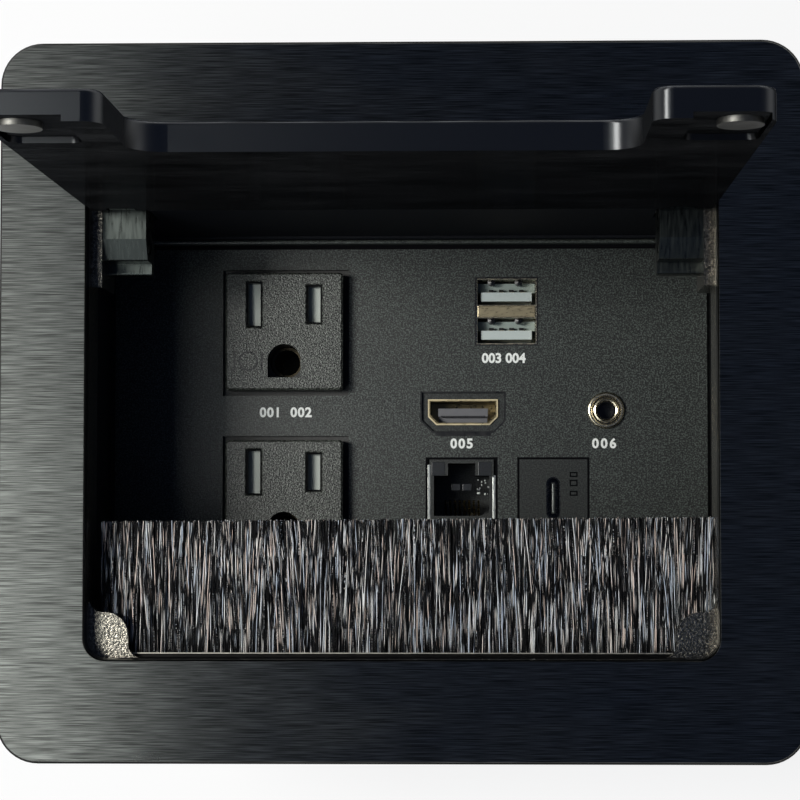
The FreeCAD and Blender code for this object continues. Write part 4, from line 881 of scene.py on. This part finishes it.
flanks = bmesh.new()
blocks = bmesh.new()
carrier = bmesh.new()
for side, start in zip((-1, 1), flank_starts):
    flank_end = rear_edge - start
    add_block(flanks, (network_x + side * flank_offset, (front_edge + flank_end) / 2),
              (flank_width, flank_end - front_edge), network_top - 2, network_top + 0.03, edge=0.15)
    add_block(blocks, (network_x + side * block_offset, rear_edge - 2.0), block_size,
              network_top - 1.2, network_top + 0.06, edge=0.12)
for index in range(2):
    x = network_x - 1.3 + index * carrier_pitch
    add_block(carrier, (x, rear_edge - 5.8), carrier_size, network_top - 7, network_top - 6,
              edge=0.15)
scatter = random.Random(3)
for index in range(speck_count):
    x = network_x + scatter.uniform(3.2, 5.6)
    y = rear_edge - scatter.uniform(4.4, 7.8)
    width = scatter.uniform(0.12, 0.35)
    depth = scatter.uniform(0.15, 0.5)
    add_block(flanks, (x + width / 2, y + depth / 2), (width, depth), network_top - 3.5,
              network_top - scatter.uniform(2.4, 3.2), edge=0.03)
navy = sandy("navy_moulding", (0.009, 0.011, 0.014), 0.3 * mm, 0.01 * mm, rough=0.35)
bright_steel = plated("bright_steel", (0.48, 0.5, 0.48), 0.34, streak=(0.3 * mm, 1.2 * mm, 1 * mm))
piece(flanks, "network_flanks", bright_steel, "shield_steel")
piece(blocks, "network_blocks", navy, "port_plastic")
piece(carrier, "network_carrier", navy, "tongue_grey")

# %% [markdown]
# The oval port is a plain snap-in block. A slim pale strip runs down its tongue, and plain
# frames are printed beside it. Matt black seams part both snap-in blocks from the panel: painted
# shade that stands for the dark gaps round them.

# %% Oval port and seams
oval_x, oval_y, oval_top = middle("oval_port_body")
strip_size = (0.32, 6.2)
seam_size = (15.35, 17.15)
seam_width = 0.48
print_offset = 4.3
print_width = 1.7
print_wall = 0.3
print_rows = ((5.0, 1.1), (3.2, 1.4), (1.0, 1.1))

strip = bmesh.new()
add_block(strip, (oval_x, oval_y), strip_size, oval_top - 1.25, oval_top - 1.05, edge=0.05)
piece(strip, "oval_contact_strip", plated("worn_steel", (0.2, 0.21, 0.2), 0.35), "nickel")
seams = bmesh.new()
# Painted shade: black seams for the gaps round the blocks; the frames after them are print.
for x, y, top in ((network_x, network_y, network_top), (oval_x, oval_y, oval_top)):
    add_frame(seams, (x, y + 0.1), seam_size, seam_width, max(top, panel_top) + 0.03)
for rise, length in print_rows:
    add_frame(seams, (oval_x + print_offset, oval_y + rise), (print_width, length), print_wall,
              oval_top + proud)
piece(seams, "module_seam_shade_and_print", matt_black, "port_plastic")

# %% [markdown]
# Long lines frame the panel from above. Behind it the baffle's folded hem catches a thin grey
# light, and its coat is painted paler than the baffle's, a painted highlight. The dark gap under
# it is a matt black strip, a painted shadow. In front a bright wire binds the filaments to their
# holder, and beyond it a matt black sheet before the opening's front wall is painted shade.

# %% Hem, brush root and front wall
baffle_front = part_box("rear_baffle")[0].y / mm
hem_length = 112
hem_thick = 0.83
gap_width = 0.95
root_middle = (0.5, -48.24)
root_size = (116.2, 0.24)
front_shade_sheet_middle = (0, -49)
front_shade_sheet_size = (108, 0.1)

hem = bmesh.new()
add_block(hem, (0, baffle_front - 0.435), (hem_length, hem_thick), panel_top - 0.02,
          panel_top + 2.4, edge=0.35)
# Painted highlight: the hem's coat is paler than the baffle's.
hem_highlight_coat = sandy("hem_highlight_coat", (0.055, 0.062, 0.055), 0.25 * mm, 0.02 * mm, rough=0.35, contrast=0.8)
piece(hem, "baffle_hem", hem_highlight_coat, "powder_panel")
# Painted shadow: a matt black strip in the gap under the hem.
hem_shadow_strip = bmesh.new()
add_block(hem_shadow_strip, (0, baffle_front - 1.275), (hem_length, gap_width), panel_top - 0.1,
          panel_top + 0.03)
piece(hem_shadow_strip, "hem_shadow_gap", matt_black, "foam")
root = bmesh.new()
add_block(root, root_middle, root_size, -4.78, -4.56, edge=0.04)
piece(root, "brush_root_wire", plated("root_wire", (0.45, 0.43, 0.38), 0.4), "holder_metal")
# Painted shade: a matt black sheet before the opening's front wall.
front_shade_sheet = bmesh.new()
add_block(front_shade_sheet, front_shade_sheet_middle, front_shade_sheet_size, -4.5, -0.05)
piece(front_shade_sheet, "front_wall_shade_sheet", matt_black, "rough_cast")

# %% [markdown]
# Each port has a printed number. Text becomes a mesh before it is placed, so that its object
# stays at the origin like every other piece. It lies a hair above the coat, as screen print does.

# %% Port numbers
print_size = 2.85 * mm
print_thick = 0.03 * mm
print_boldness = 0.1 * mm


def number_mesh(name, text, x, y, spacing):
    """Printed digits, centred on a place."""
    curve = bpy.data.curves.new(name, "FONT")
    curve.body = text
    curve.size = print_size
    curve.space_character = spacing
    curve.align_x = "CENTER"
    curve.align_y = "CENTER"
    curve.extrude = print_thick / 2
    curve.offset = print_boldness
    curve.resolution_u = 3
    made = mesh_of_curve(name, curve)
    made.data.transform(Matrix.Translation((x * mm, y * mm, panel_top * mm + print_thick)))
    return made


ink = plain_finish("white_ink", (0.72, 0.74, 0.71), 0.5)
color_by(ink, grain(ink, (0.2 * mm,) * 3), [(0.35, (0.76, 0.78, 0.76)), (0.5, (0.9, 0.92, 0.9))])
outlet_x, outlet_y, _ = middle("receptacle_face_upper")
numbers = [("number_outlets", "001  002", outlet_x, outlet_y - 17.1, 1.1),
           ("number_charge", "003 004", charge_x - 0.6, charge_y - 10.1, 1.0),
           ("number_video", "005", video_x - 0.25, video_y - 6.8, 1.2),
           ("number_audio", "006", audio_x - 0.4, audio_y - 7.1, 1.3)]
for name, text, x, y, spacing in numbers:
    label = number_mesh(name, text, x, y, spacing)
    label.data.materials.append(ink)
    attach(label, "frame")
    print(name, round(label.dimensions.x / mm, 1), "mm wide")
